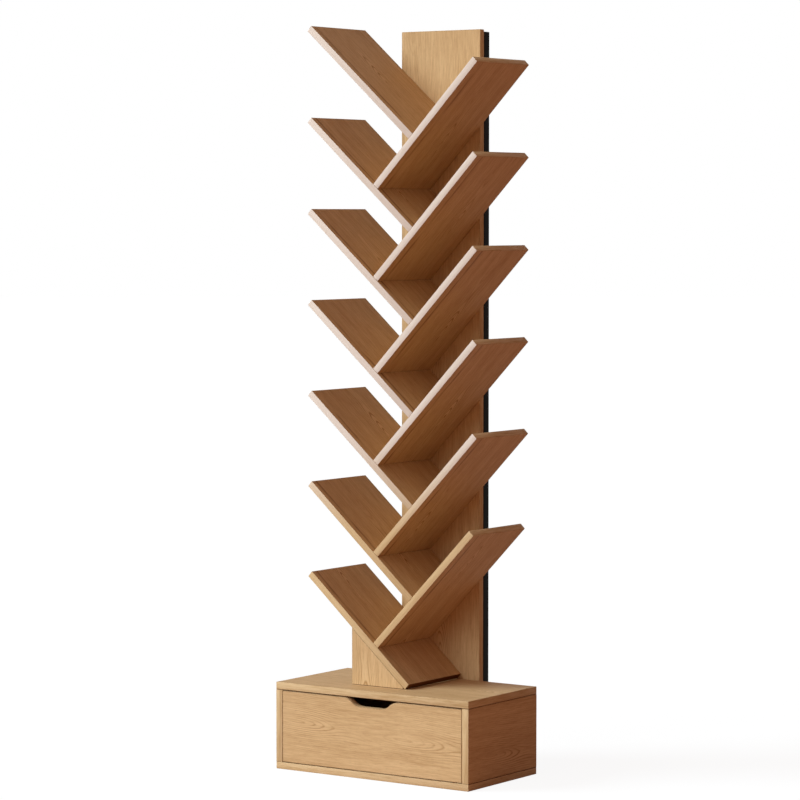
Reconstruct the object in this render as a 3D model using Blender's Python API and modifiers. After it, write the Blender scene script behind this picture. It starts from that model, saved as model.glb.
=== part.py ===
"""Tree-shaped book rack: slanting boards on a back column, over a base cabinet with one drawer.

Lengths are in metres and +Z is up. The origin is on the floor under the middle of the cabinet.
The drawer opens towards -Y, and each left board rises to -X, each right board to +X.
"""

import math

import bmesh
import bpy
from mathutils import Matrix, Vector

# Clearances that all pieces share
SEAT_GAP = 0.0003
HOLE_CLEARANCE = 0.0003
CUT_OVERRUN = 0.003
WELD_DISTANCE = 0.00001
EDGE_CHAMFER = 0.0008

# Base cabinet
BASE_WIDTH = 0.500
BASE_DEPTH = 0.263
BASE_HEIGHT = 0.189
BASE_TOP_THICKNESS = 0.016
BASE_BOTTOM_THICKNESS = 0.015
BASE_SIDE_THICKNESS = 0.016
BASE_BACK_THICKNESS = 0.015

# Slanting boards, with reaches from the middle plane to the lower corner of each tip
LEFT_BOARD_COUNT = 7
BOARD_THICKNESS = 0.015
BOARD_DEPTH = 0.200
BOARD_PITCH = 0.196
LEFT_TILT = math.radians(41.5)
RIGHT_TILT = math.radians(46.0)
LEFT_REACH = 0.2103
RIGHT_REACH = 0.2275
LOWEST_RIGHT_REACH = 0.2196
FOOT_OFFSET = 0.0451
RIGHT_JOINT_OFFSET = -0.0260

# Gusset under the lowest left board
GUSSET_OFFSET = 0.0935
GUSSET_THICKNESS = 0.015
GUSSET_NOSE = 0.004

# Column behind the boards, which ends a little below the top board's tip
COLUMN_WIDTH = 0.205
COLUMN_THICKNESS = 0.015
COLUMN_TOP_DROP = 0.0075

# Square steel posts behind the column, with their plastic caps and feet
POST_SIZE = 0.022
POST_WALL = 0.0012
POST_CORNER = 0.0025
POST_DROP = 0.0045
CAP_FLANGE = 0.002
FOOT_FLANGE = 0.003
PLUG_DEPTH = 0.012
PLUG_CLEARANCE = 0.0003

# Drawer front and its finger cut-out
SIDE_REVEAL = 0.0015
TOP_REVEAL = 0.0022
BOTTOM_REVEAL = 0.0015
DRAWER_FRONT_THICKNESS = 0.016
CUTOUT_WIDTH = 0.143
CUTOUT_DEPTH = 0.0175
CUTOUT_END_RUN = 0.046

# Drawer box
DRAWER_SIDE_THICKNESS = 0.012
DRAWER_END_THICKNESS = 0.012
DRAWER_BOTTOM_THICKNESS = 0.004
DRAWER_BOX_HEIGHT = 0.105
DRAWER_BOX_LIFT = 0.011
DRAWER_BOTTOM_RISE = 0.010
DRAWER_BOTTOM_GROOVE = 0.005
DRAWER_SIDE_CLEARANCE = 0.002
DRAWER_BACK_CLEARANCE = 0.010
DRAWER_TRAVEL = 0.150

# Wooden runners on the cabinet sides
RUNNER_THICKNESS = 0.0085
RUNNER_HEIGHT = 0.014
RUNNER_RISE = 0.050
RUNNER_ENGAGEMENT = 0.045
RUNNER_BACK_CLEARANCE = 0.004
RUNNER_CLEARANCE = 0.0005

# Dowels that hold the gusset, one in the cabinet top and one in the board over it
DOWEL_RADIUS = 0.004
DOWEL_LENGTH = 0.030
DOWEL_FACE_DEPTH = 0.010
GUSSET_FOOT_DOWEL_SETBACK = 0.050
GUSSET_TOP_DOWEL_SETBACK = 0.062

# Countersunk screws through the column, a long one into each board and short ones into the cabinet
COLUMN_SCREW_HEAD_RADIUS = 0.004
COLUMN_SCREW_SHANK_RADIUS = 0.002
BOARD_SCREW_LENGTH = 0.045
BOARD_SCREW_SETBACK = 0.080
CABINET_SCREW_LENGTH = 0.025
CABINET_SCREW_SPACING = 0.100

# Pan-head screws through each post into the column
POST_SCREW_HEAD_RADIUS = 0.004
POST_SCREW_HEAD_HEIGHT = 0.0022
POST_SCREW_SHANK_RADIUS = 0.002
POST_SCREW_BITE = 0.011
POST_SCREW_END_INSET = 0.060

# Long countersunk screws up through the cabinet bottom into its sides
BOTTOM_SCREW_HEAD_RADIUS = 0.0045
BOTTOM_SCREW_SHANK_RADIUS = 0.0025
BOTTOM_SCREW_LENGTH = 0.050
BOTTOM_SCREW_RECESS = 0.0005
BOTTOM_SCREW_EDGE = 0.045

# How finely round shapes are faceted
FASTENER_SIDES = 12
ARC_STEPS = 5
CORNER_STEPS = 3
SMOOTH_ANGLE = math.radians(35)

# Finishes, as linear colour, roughness and metallic value
OAK = ((0.60, 0.375, 0.185), 0.45, 0.0)
PLAIN_BOARD = ((0.66, 0.50, 0.31), 0.55, 0.0)
BEECH = ((0.62, 0.43, 0.25), 0.60, 0.0)
BLACK_STEEL = ((0.012, 0.012, 0.013), 0.42, 0.6)
BLACK_PLASTIC = ((0.010, 0.010, 0.010), 0.50, 0.0)
ZINC = ((0.62, 0.61, 0.58), 0.32, 1.0)

# Faces and levels that several pieces meet
BASE_FRONT_Y = -BASE_DEPTH / 2
BASE_BACK_Y = BASE_DEPTH / 2
BASE_INNER_X = BASE_WIDTH / 2 - BASE_SIDE_THICKNESS
BASE_SIDE_MIDDLE_X = BASE_WIDTH / 2 - BASE_SIDE_THICKNESS / 2
BASE_BACK_INNER_Y = BASE_BACK_Y - BASE_BACK_THICKNESS
BASE_TOP_UNDERSIDE = BASE_HEIGHT - BASE_TOP_THICKNESS
SIDE_TOP = BASE_TOP_UNDERSIDE - SEAT_GAP
SIDE_BOTTOM = BASE_BOTTOM_THICKNESS + SEAT_GAP
TREE_FLOOR = BASE_HEIGHT + SEAT_GAP

BOARD_BACK_Y = BASE_BACK_Y
BOARD_MIDDLE_Y = BOARD_BACK_Y - BOARD_DEPTH / 2
BOARD_FRONT_Y = BOARD_BACK_Y - BOARD_DEPTH
GUSSET_MIDDLE_Y = BOARD_FRONT_Y + GUSSET_THICKNESS / 2
BOARDS_RISE = (LEFT_BOARD_COUNT - 1) * BOARD_PITCH
TOP_TIP_LOW = TREE_FLOOR + BOARDS_RISE + (FOOT_OFFSET + LEFT_REACH) * math.tan(LEFT_TILT)
TOP_TIP_HIGH = TOP_TIP_LOW + BOARD_THICKNESS * math.cos(LEFT_TILT)

COLUMN_FRONT_Y = BOARD_BACK_Y + SEAT_GAP
COLUMN_BACK_Y = COLUMN_FRONT_Y + COLUMN_THICKNESS
COLUMN_HEIGHT = TOP_TIP_HIGH - COLUMN_TOP_DROP
POST_FRONT_Y = COLUMN_BACK_Y + SEAT_GAP
POST_MIDDLE_Y = POST_FRONT_Y + POST_SIZE / 2
POST_BACK_Y = POST_FRONT_Y + POST_SIZE
POST_MIDDLE_X = COLUMN_WIDTH / 2 - POST_SIZE / 2

DRAWER_FRONT_BACK_Y = BASE_FRONT_Y + DRAWER_FRONT_THICKNESS
DRAWER_FRONT_BOTTOM = BASE_BOTTOM_THICKNESS + BOTTOM_REVEAL
DRAWER_FRONT_TOP = BASE_TOP_UNDERSIDE - TOP_REVEAL
BOX_FRONT_Y = DRAWER_FRONT_BACK_Y + SEAT_GAP
BOX_BACK_Y = BASE_BACK_INNER_Y - DRAWER_BACK_CLEARANCE
BOX_OUTER_X = BASE_INNER_X - DRAWER_SIDE_CLEARANCE
BOX_INNER_X = BOX_OUTER_X - DRAWER_SIDE_THICKNESS
BOX_BOTTOM = DRAWER_FRONT_BOTTOM + DRAWER_BOX_LIFT
BOX_TOP = BOX_BOTTOM + DRAWER_BOX_HEIGHT
DRAWER_BOTTOM_LOW = BOX_BOTTOM + DRAWER_BOTTOM_RISE
DRAWER_BOTTOM_HIGH = DRAWER_BOTTOM_LOW + DRAWER_BOTTOM_THICKNESS

RUNNER_BACK_Y = BASE_BACK_INNER_Y - RUNNER_BACK_CLEARANCE
RUNNER_FRONT_Y = BOX_BACK_Y - DRAWER_TRAVEL - RUNNER_ENGAGEMENT
RUNNER_LOW = BOX_BOTTOM + RUNNER_RISE
RUNNER_HIGH = RUNNER_LOW + RUNNER_HEIGHT
RUNNER_INNER_X = BASE_INNER_X - SEAT_GAP - RUNNER_THICKNESS

# Which way a fastener's head looks
DOWN = Matrix.Rotation(math.pi, 4, "X")
BACK = Matrix.Rotation(-math.pi / 2, 4, "X")


# Scene and collections

def clear_scene():
    for old in list(bpy.data.objects):
        bpy.data.objects.remove(old)


def new_collection(name):
    collection = bpy.data.collections.new(name)
    bpy.context.scene.collection.children.link(collection)
    return collection


clear_scene()
RACK = new_collection("book_rack")
CUTTERS = new_collection("cutters")


# Shapes

def add_object(name, data):
    piece = bpy.data.objects.new(name, data)
    RACK.objects.link(piece)
    return piece


def evaluated_mesh(shape):
    """The mesh that an object has after its modifiers, or that a curve makes."""
    graph = bpy.context.evaluated_depsgraph_get()
    return bpy.data.meshes.new_from_object(shape.evaluated_get(graph))


def weld(mesh):
    bm = bmesh.new()
    bm.from_mesh(mesh)
    bmesh.ops.remove_doubles(bm, verts=bm.verts, dist=WELD_DISTANCE)
    bm.to_mesh(mesh)
    bm.free()


def smooth(mesh):
    mesh.shade_smooth()
    mesh.set_sharp_from_angle(angle=SMOOTH_ANGLE)


def box_mesh(name, size):
    bm = bmesh.new()
    bmesh.ops.create_cube(bm, size=1)
    bmesh.ops.scale(bm, vec=size, verts=bm.verts)
    mesh = bpy.data.meshes.new(name)
    bm.to_mesh(mesh)
    bm.free()
    return mesh


def box_between(name, low, high):
    """A box from its lowest corner to its highest, with its origin in its middle."""
    low, high = Vector(low), Vector(high)
    block = add_object(name, box_mesh(name, high - low))
    block.location = (low + high) / 2
    return block


def outline_mesh(name, outlines, depth):
    """Closed outlines in X and Y, filled and extruded evenly both ways along Z."""
    curve = bpy.data.curves.new(name, "CURVE")
    curve.dimensions = "2D"
    curve.fill_mode = "BOTH"
    curve.extrude = depth / 2
    for outline in outlines:
        spline = curve.splines.new("POLY")
        spline.points.add(len(outline) - 1)
        for point, (x, y) in zip(spline.points, outline):
            point.co = (x, y, 0, 1)
        spline.use_cyclic_u = True
    shape = add_object(name, curve)
    mesh = evaluated_mesh(shape)
    bpy.data.objects.remove(shape)
    bpy.data.curves.remove(curve)
    weld(mesh)
    smooth(mesh)
    return mesh


def upright_mesh(name, outline, depth):
    """An outline in X and Z, extruded evenly both ways along Y."""
    mesh = outline_mesh(name, [outline], depth)
    mesh.transform(Matrix.Rotation(math.pi / 2, 4, "X"))
    return mesh


def turned_mesh(name, profile):
    """A profile of radius and height, from its top on the axis to its bottom, turned about Z."""
    outline = bpy.data.meshes.new(name)
    points = [(radius, 0, height) for radius, height in profile]
    edges = [(i, i + 1) for i in range(len(profile) - 1)]
    outline.from_pydata(points, edges, [])
    shape = add_object(name, outline)
    turn = shape.modifiers.new("turn", "SCREW")
    turn.steps = FASTENER_SIDES
    turn.render_steps = FASTENER_SIDES
    turn.use_merge_vertices = True
    turn.merge_threshold = WELD_DISTANCE
    mesh = evaluated_mesh(shape)
    bpy.data.objects.remove(shape)
    bpy.data.meshes.remove(outline)
    smooth(mesh)
    return mesh


def ease_edges(piece):
    bevel = piece.modifiers.new("eased edges", "BEVEL")
    bevel.width = EDGE_CHAMFER
    bevel.segments = 1
    bevel.limit_method = "ANGLE"


def finish(piece, look):
    """A material of the piece's own."""
    colour, roughness, metallic = look
    material = bpy.data.materials.new(piece.name)
    material.use_nodes = True
    shader = material.node_tree.nodes["Principled BSDF"]
    shader.inputs["Base Color"].default_value = (*colour, 1)
    shader.inputs["Roughness"].default_value = roughness
    shader.inputs["Metallic"].default_value = metallic
    piece.data.materials.clear()
    piece.data.materials.append(material)


def panel(name, low, high, look):
    piece = box_between(name, low, high)
    ease_edges(piece)
    finish(piece, look)
    return piece


def boolean_tools(piece, operation):
    """The collection of tools that one Boolean adds to a piece, or takes away from it, at once."""
    tools = bpy.data.collections.get(piece.name + "_tools")
    if tools is None:
        tools = bpy.data.collections.new(piece.name + "_tools")
        CUTTERS.children.link(tools)
        boolean = piece.modifiers.new("tools", "BOOLEAN")
        boolean.operation = operation
        boolean.solver = "EXACT"
        boolean.operand_type = "COLLECTION"
        boolean.collection = tools
    return tools


def add_tool(name, data):
    tool = bpy.data.objects.new(name, data)
    tool.hide_render = True
    tool.display_type = "WIRE"
    return tool


def cut_box(piece, name, low, high):
    low, high = Vector(low), Vector(high)
    groove = add_tool(name, box_mesh(name, high - low))
    groove.location = (low + high) / 2
    boolean_tools(piece, "DIFFERENCE").objects.link(groove)


# Fasteners, each with a solid and the slightly larger shape of its hole

def countersunk(head_radius, shank_radius, length):
    """Solid and hole of a screw whose head is flush with the face at height zero."""
    neck = shank_radius - head_radius
    hole_mouth = head_radius + HOLE_CLEARANCE + CUT_OVERRUN
    hole_shank = shank_radius + HOLE_CLEARANCE
    hole_end = -length - HOLE_CLEARANCE
    solid = [(0, 0), (head_radius, 0), (shank_radius, neck), (shank_radius, -length), (0, -length)]
    hole = [
        (0, CUT_OVERRUN), (hole_mouth, CUT_OVERRUN), (hole_shank, neck),
        (hole_shank, hole_end), (0, hole_end),
    ]
    return turned_mesh("screw", solid), turned_mesh("screw_hole", hole)


def pan_headed(head_radius, head_height, shank_radius, length):
    """Solid and hole of a screw whose head stands on the face at height zero."""
    hole_shank = shank_radius + HOLE_CLEARANCE
    hole_end = -length - HOLE_CLEARANCE
    solid = [
        (0, SEAT_GAP + head_height), (head_radius, SEAT_GAP + head_height / 2),
        (head_radius, SEAT_GAP), (shank_radius, SEAT_GAP),
        (shank_radius, -length), (0, -length),
    ]
    hole = [(0, CUT_OVERRUN), (hole_shank, CUT_OVERRUN), (hole_shank, hole_end), (0, hole_end)]
    return turned_mesh("pan_screw", solid), turned_mesh("pan_screw_hole", hole)


def dowel():
    """Solid and hole of a dowel whose middle is at height zero."""
    end = DOWEL_LENGTH / 2
    hole_radius = DOWEL_RADIUS + HOLE_CLEARANCE
    hole_end = end + HOLE_CLEARANCE
    solid = [(0, end), (DOWEL_RADIUS, end), (DOWEL_RADIUS, -end), (0, -end)]
    hole = [(0, hole_end), (hole_radius, hole_end), (hole_radius, -hole_end), (0, -hole_end)]
    return turned_mesh("dowel", solid), turned_mesh("dowel_hole", hole)


def fasten(name, shapes, place, pieces, look):
    """One fastener at its place, with its hole in each piece that it goes into."""
    solid, hole = shapes
    fastener = add_object(name, solid.copy())
    fastener.matrix_world = place
    finish(fastener, look)
    bore = add_tool(name + "_hole", hole.copy())
    bore.matrix_world = place
    for piece in pieces:
        boolean_tools(piece, "DIFFERENCE").objects.link(bore)


def discard(shapes):
    for mesh in shapes:
        bpy.data.meshes.remove(mesh)


# Base cabinet

def build_base():
    top = panel(
        "base_top_panel",
        (-BASE_WIDTH / 2, BASE_FRONT_Y, BASE_TOP_UNDERSIDE),
        (BASE_WIDTH / 2, BASE_BACK_Y, BASE_HEIGHT),
        OAK,
    )
    bottom = panel(
        "base_bottom_panel",
        (-BASE_WIDTH / 2, BASE_FRONT_Y, 0),
        (BASE_WIDTH / 2, BASE_BACK_Y, BASE_BOTTOM_THICKNESS),
        OAK,
    )
    left = panel(
        "base_left_side",
        (-BASE_WIDTH / 2, BASE_FRONT_Y, SIDE_BOTTOM),
        (-BASE_INNER_X, BASE_BACK_Y, SIDE_TOP),
        OAK,
    )
    right = panel(
        "base_right_side",
        (BASE_INNER_X, BASE_FRONT_Y, SIDE_BOTTOM),
        (BASE_WIDTH / 2, BASE_BACK_Y, SIDE_TOP),
        OAK,
    )
    back = panel(
        "base_back_panel",
        (SEAT_GAP - BASE_INNER_X, BASE_BACK_INNER_Y, SIDE_BOTTOM),
        (BASE_INNER_X - SEAT_GAP, BASE_BACK_Y, SIDE_TOP),
        OAK,
    )
    return top, bottom, left, right, back


def fasten_base(bottom, left, right):
    shapes = countersunk(BOTTOM_SCREW_HEAD_RADIUS, BOTTOM_SCREW_SHANK_RADIUS, BOTTOM_SCREW_LENGTH)
    front_y = BASE_FRONT_Y + BOTTOM_SCREW_EDGE
    back_y = BASE_BACK_Y - BOTTOM_SCREW_EDGE
    for side_name, side, piece in (("left", -1, left), ("right", 1, right)):
        for end_name, y in (("front", front_y), ("back", back_y)):
            place = Matrix.Translation((side * BASE_SIDE_MIDDLE_X, y, BOTTOM_SCREW_RECESS)) @ DOWN
            name = "base_screw_%s_%s" % (side_name, end_name)
            fasten(name, shapes, place, (bottom, piece), ZINC)
    discard(shapes)


# Slanting boards

def left_under(number, x):
    """Height of a left board's underside. Boards are numbered from the top."""
    steps_up = LEFT_BOARD_COUNT - number
    return TREE_FLOOR + steps_up * BOARD_PITCH + (FOOT_OFFSET - x) * math.tan(LEFT_TILT)


def board_rise(tilt):
    """Height from a board's underside to whatever rests on it."""
    return (BOARD_THICKNESS + SEAT_GAP) / math.cos(tilt)


def left_joint_x():
    """Where a left board's underside meets the right board that it stands on."""
    room = BOARD_PITCH - board_rise(LEFT_TILT) - board_rise(RIGHT_TILT)
    return RIGHT_JOINT_OFFSET + room / (math.tan(LEFT_TILT) + math.tan(RIGHT_TILT))


def board_mesh(name, side, length, skewed):
    """A board along X from its lower end at the origin, towards its tip on the given side.

    A skewed lower end follows the face that it stands on, where the boards don't meet square.
    """
    corner_skew = math.pi / 2 - LEFT_TILT - RIGHT_TILT
    skew = BOARD_THICKNESS * math.tan(corner_skew) if skewed else 0
    outline = [
        (0, 0),
        (side * length, 0),
        (side * length, BOARD_THICKNESS),
        (-side * skew, BOARD_THICKNESS),
    ]
    return upright_mesh(name, outline, BOARD_DEPTH)


def place_board(name, mesh, x, z, turn):
    board = add_object(name, mesh.copy())
    board.location = (x, BOARD_MIDDLE_Y, z)
    board.rotation_euler = (0, turn, 0)
    ease_edges(board)
    finish(board, OAK)
    return board


def build_boards():
    joint_x = left_joint_x()
    left_length = (joint_x + LEFT_REACH) / math.cos(LEFT_TILT)
    foot_length = (FOOT_OFFSET + LEFT_REACH) / math.cos(LEFT_TILT)
    right_length = (RIGHT_REACH - RIGHT_JOINT_OFFSET) / math.cos(RIGHT_TILT)
    lowest_right_length = (LOWEST_RIGHT_REACH - RIGHT_JOINT_OFFSET) / math.cos(RIGHT_TILT)
    left_mesh = board_mesh("left_board", -1, left_length, True)
    foot_mesh = board_mesh("foot_board", -1, foot_length, False)
    right_mesh = board_mesh("right_board", 1, right_length, True)
    lowest_right_mesh = board_mesh("lowest_right_board", 1, lowest_right_length, True)
    lefts = []
    rights = []
    for number in range(1, LEFT_BOARD_COUNT):
        name = "left_board_%d" % number
        lefts.append(place_board(name, left_mesh, joint_x, left_under(number, joint_x), LEFT_TILT))
    name = "left_board_%d" % LEFT_BOARD_COUNT
    lefts.append(place_board(name, foot_mesh, FOOT_OFFSET, TREE_FLOOR, LEFT_TILT))
    for number in range(1, LEFT_BOARD_COUNT):
        z = left_under(number + 1, RIGHT_JOINT_OFFSET) + board_rise(LEFT_TILT)
        mesh = right_mesh if number < LEFT_BOARD_COUNT - 1 else lowest_right_mesh
        name = "right_board_%d" % number
        rights.append(place_board(name, mesh, RIGHT_JOINT_OFFSET, z, -RIGHT_TILT))
    for mesh in (left_mesh, foot_mesh, right_mesh, lowest_right_mesh):
        bpy.data.meshes.remove(mesh)
    return lefts, rights


def board_place(board):
    return Matrix.Translation(board.location) @ board.rotation_euler.to_matrix().to_4x4()


def fasten_boards(lefts, rights, column):
    """A screw through the column into the back edge of each board."""
    shapes = countersunk(COLUMN_SCREW_HEAD_RADIUS, COLUMN_SCREW_SHANK_RADIUS, BOARD_SCREW_LENGTH)
    for boards, side in ((lefts, -1), (rights, 1)):
        for board in boards:
            spot = board_place(board) @ Vector((side * BOARD_SCREW_SETBACK, 0, BOARD_THICKNESS / 2))
            place = Matrix.Translation((spot.x, COLUMN_BACK_Y, spot.z)) @ BACK
            fasten(board.name + "_screw", shapes, place, (column, board), ZINC)
    discard(shapes)


# Gusset under the lowest left board

def build_gusset():
    low_z = TREE_FLOOR
    hanging = SEAT_GAP / math.cos(LEFT_TILT)
    high_z = left_under(LEFT_BOARD_COUNT, -GUSSET_OFFSET) - hanging
    nose_x = FOOT_OFFSET - (GUSSET_NOSE + hanging) / math.tan(LEFT_TILT)
    outline = [
        (-GUSSET_OFFSET, low_z),
        (nose_x, low_z),
        (nose_x, low_z + GUSSET_NOSE),
        (-GUSSET_OFFSET, high_z),
    ]
    gusset = add_object("support_gusset", upright_mesh("support_gusset", outline, GUSSET_THICKNESS))
    gusset.location = (0, GUSSET_MIDDLE_Y, 0)
    ease_edges(gusset)
    finish(gusset, OAK)
    return gusset


def fasten_gusset(gusset, top, foot_board):
    shapes = dowel()
    sunk = DOWEL_FACE_DEPTH - DOWEL_LENGTH / 2
    foot_x = GUSSET_FOOT_DOWEL_SETBACK - GUSSET_OFFSET
    place = Matrix.Translation((foot_x, GUSSET_MIDDLE_Y, BASE_HEIGHT - sunk))
    fasten("gusset_foot_dowel", shapes, place, (gusset, top), BEECH)
    edge_length = (GUSSET_OFFSET + FOOT_OFFSET) / math.cos(LEFT_TILT)
    spot = (GUSSET_TOP_DOWEL_SETBACK - edge_length, GUSSET_MIDDLE_Y - BOARD_MIDDLE_Y, sunk)
    place = board_place(foot_board) @ Matrix.Translation(spot)
    fasten("gusset_top_dowel", shapes, place, (gusset, foot_board), BEECH)
    discard(shapes)


# Column and posts

def build_column():
    return panel(
        "back_column",
        (-COLUMN_WIDTH / 2, COLUMN_FRONT_Y, 0),
        (COLUMN_WIDTH / 2, COLUMN_BACK_Y, COLUMN_HEIGHT),
        OAK,
    )


def rounded_square(size, radius):
    points = []
    reach = size / 2 - radius
    for corner in range(4):
        middle = corner * math.pi / 2 + math.pi / 4
        centre_x = math.copysign(reach, math.cos(middle))
        centre_y = math.copysign(reach, math.sin(middle))
        for step in range(CORNER_STEPS + 1):
            angle = corner * math.pi / 2 + step / CORNER_STEPS * math.pi / 2
            points.append((centre_x + radius * math.cos(angle), centre_y + radius * math.sin(angle)))
    return points


def build_post(side_name, side):
    """One open square tube with the plugs that close its ends."""
    x = side * POST_MIDDLE_X
    top = COLUMN_HEIGHT - POST_DROP
    tube_high = top - CAP_FLANGE - SEAT_GAP
    tube_low = FOOT_FLANGE + SEAT_GAP
    section = [
        rounded_square(POST_SIZE, POST_CORNER),
        rounded_square(POST_SIZE - 2 * POST_WALL, POST_CORNER - POST_WALL),
    ]
    name = side_name + "_post"
    post = add_object(name, outline_mesh(name, section, tube_high - tube_low))
    post.location = (x, POST_MIDDLE_Y, (tube_high + tube_low) / 2)
    finish(post, BLACK_STEEL)
    build_plug(side_name + "_post_cap", x, top, top - CAP_FLANGE, tube_high - PLUG_DEPTH)
    build_plug(side_name + "_post_foot", x, 0, FOOT_FLANGE, tube_low + PLUG_DEPTH)
    return post


def build_plug(name, x, outer_z, flange_z, inner_z):
    """A flange that covers the tube's end, with a smaller block that fills the tube's mouth."""
    flange_middle = (outer_z + flange_z) / 2
    insert_size = POST_SIZE - 2 * POST_WALL - 2 * PLUG_CLEARANCE
    insert_corner = POST_CORNER - POST_WALL - PLUG_CLEARANCE
    flange = outline_mesh(name, [rounded_square(POST_SIZE, POST_CORNER)], abs(outer_z - flange_z))
    insert_outline = rounded_square(insert_size, insert_corner)
    insert = outline_mesh(name, [insert_outline], abs(flange_middle - inner_z))
    plug = add_object(name, flange)
    plug.location = (x, POST_MIDDLE_Y, flange_middle)
    core = add_tool(name + "_insert", insert)
    core.location = (x, POST_MIDDLE_Y, (flange_middle + inner_z) / 2)
    boolean_tools(plug, "UNION").objects.link(core)
    finish(plug, BLACK_PLASTIC)


def fasten_posts(posts, column):
    length = POST_SIZE + SEAT_GAP + POST_SCREW_BITE
    shapes = pan_headed(
        POST_SCREW_HEAD_RADIUS, POST_SCREW_HEAD_HEIGHT, POST_SCREW_SHANK_RADIUS, length
    )
    low = POST_SCREW_END_INSET
    high = COLUMN_HEIGHT - POST_SCREW_END_INSET
    for post, side in zip(posts, (-1, 1)):
        for end_name, z in (("bottom", low), ("top", high)):
            place = Matrix.Translation((side * POST_MIDDLE_X, POST_BACK_Y, z)) @ BACK
            fasten("%s_screw_%s" % (post.name, end_name), shapes, place, (post, column), ZINC)
    discard(shapes)


def fasten_column(column, back):
    shapes = countersunk(COLUMN_SCREW_HEAD_RADIUS, COLUMN_SCREW_SHANK_RADIUS, CABINET_SCREW_LENGTH)
    for side_name, side in (("left", -1), ("right", 1)):
        spot = (side * CABINET_SCREW_SPACING / 2, COLUMN_BACK_Y, BASE_HEIGHT / 2)
        place = Matrix.Translation(spot) @ BACK
        fasten("column_screw_" + side_name, shapes, place, (column, back), ZINC)
    discard(shapes)


# Drawer

def eased_drop(run, drop):
    """Points of an S-shaped fall, level at both ends, made of two like arcs."""
    radius = (run * run + drop * drop) / (4 * drop)
    sweep = 2 * math.atan2(drop, run)
    points = []
    for step in range(ARC_STEPS + 1):
        angle = step / ARC_STEPS * sweep
        points.append((radius * math.sin(angle), -radius * (1 - math.cos(angle))))
    for step in range(ARC_STEPS - 1, -1, -1):
        angle = step / ARC_STEPS * sweep
        points.append((run - radius * math.sin(angle), radius * (1 - math.cos(angle)) - drop))
    return points


def build_drawer_front():
    half_width = BASE_INNER_X - SIDE_REVEAL
    half_cutout = CUTOUT_WIDTH / 2
    fall = eased_drop(CUTOUT_END_RUN, CUTOUT_DEPTH)
    left_end = [(x - half_cutout, DRAWER_FRONT_TOP + z) for x, z in fall]
    right_end = [(half_cutout - x, DRAWER_FRONT_TOP + z) for x, z in reversed(fall)]
    outline = [(-half_width, DRAWER_FRONT_BOTTOM), (-half_width, DRAWER_FRONT_TOP)]
    outline += left_end + right_end
    outline += [(half_width, DRAWER_FRONT_TOP), (half_width, DRAWER_FRONT_BOTTOM)]
    front = add_object("drawer_front", upright_mesh("drawer_front", outline, DRAWER_FRONT_THICKNESS))
    front.location = (0, BASE_FRONT_Y + DRAWER_FRONT_THICKNESS / 2, 0)
    ease_edges(front)
    finish(front, OAK)
    return front


def build_drawer_sides():
    """Each side has a groove outside for its runner and one inside for the bottom."""
    sides = []
    groove_depth = BASE_INNER_X - RUNNER_INNER_X - DRAWER_SIDE_CLEARANCE + RUNNER_CLEARANCE
    for name, side in (("drawer_left_side", -1), ("drawer_right_side", 1)):
        low_x, high_x = sorted((side * BOX_OUTER_X, side * BOX_INNER_X))
        piece = panel(name, (low_x, BOX_FRONT_Y, BOX_BOTTOM), (high_x, BOX_BACK_Y, BOX_TOP), PLAIN_BOARD)
        low_x, high_x = sorted((side * (BOX_OUTER_X - groove_depth), side * (BOX_OUTER_X + CUT_OVERRUN)))
        cut_box(
            piece,
            name + "_runner_groove",
            (low_x, RUNNER_FRONT_Y - RUNNER_CLEARANCE, RUNNER_LOW - RUNNER_CLEARANCE),
            (high_x, BOX_BACK_Y + CUT_OVERRUN, RUNNER_HIGH + RUNNER_CLEARANCE),
        )
        low_x, high_x = sorted((
            side * (BOX_INNER_X + DRAWER_BOTTOM_GROOVE),
            side * (BOX_INNER_X - CUT_OVERRUN),
        ))
        cut_box(
            piece,
            name + "_bottom_groove",
            (low_x, BOX_FRONT_Y - CUT_OVERRUN, DRAWER_BOTTOM_LOW - SEAT_GAP),
            (high_x, BOX_BACK_Y + CUT_OVERRUN, DRAWER_BOTTOM_HIGH + SEAT_GAP),
        )
        sides.append(piece)
    return sides


def build_drawer_ends():
    """The inner front is grooved for the bottom, and the back stands on the bottom."""
    half_width = BOX_INNER_X - SEAT_GAP
    inner_front_back_y = BOX_FRONT_Y + DRAWER_END_THICKNESS
    inner_front = panel(
        "drawer_inner_front",
        (-half_width, BOX_FRONT_Y, BOX_BOTTOM),
        (half_width, inner_front_back_y, BOX_TOP),
        PLAIN_BOARD,
    )
    cut_box(
        inner_front,
        "drawer_inner_front_groove",
        (-half_width - CUT_OVERRUN, inner_front_back_y - DRAWER_BOTTOM_GROOVE, DRAWER_BOTTOM_LOW - SEAT_GAP),
        (half_width + CUT_OVERRUN, inner_front_back_y + CUT_OVERRUN, DRAWER_BOTTOM_HIGH + SEAT_GAP),
    )
    back = panel(
        "drawer_back",
        (-half_width, BOX_BACK_Y - DRAWER_END_THICKNESS, DRAWER_BOTTOM_HIGH + SEAT_GAP),
        (half_width, BOX_BACK_Y, BOX_TOP),
        PLAIN_BOARD,
    )
    return inner_front, back


def build_drawer_bottom():
    half_width = BOX_INNER_X + DRAWER_BOTTOM_GROOVE - SEAT_GAP
    front_y = BOX_FRONT_Y + DRAWER_END_THICKNESS - DRAWER_BOTTOM_GROOVE + SEAT_GAP
    bottom = box_between(
        "drawer_bottom",
        (-half_width, front_y, DRAWER_BOTTOM_LOW),
        (half_width, BOX_BACK_Y, DRAWER_BOTTOM_HIGH),
    )
    finish(bottom, PLAIN_BOARD)
    return bottom


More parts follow.
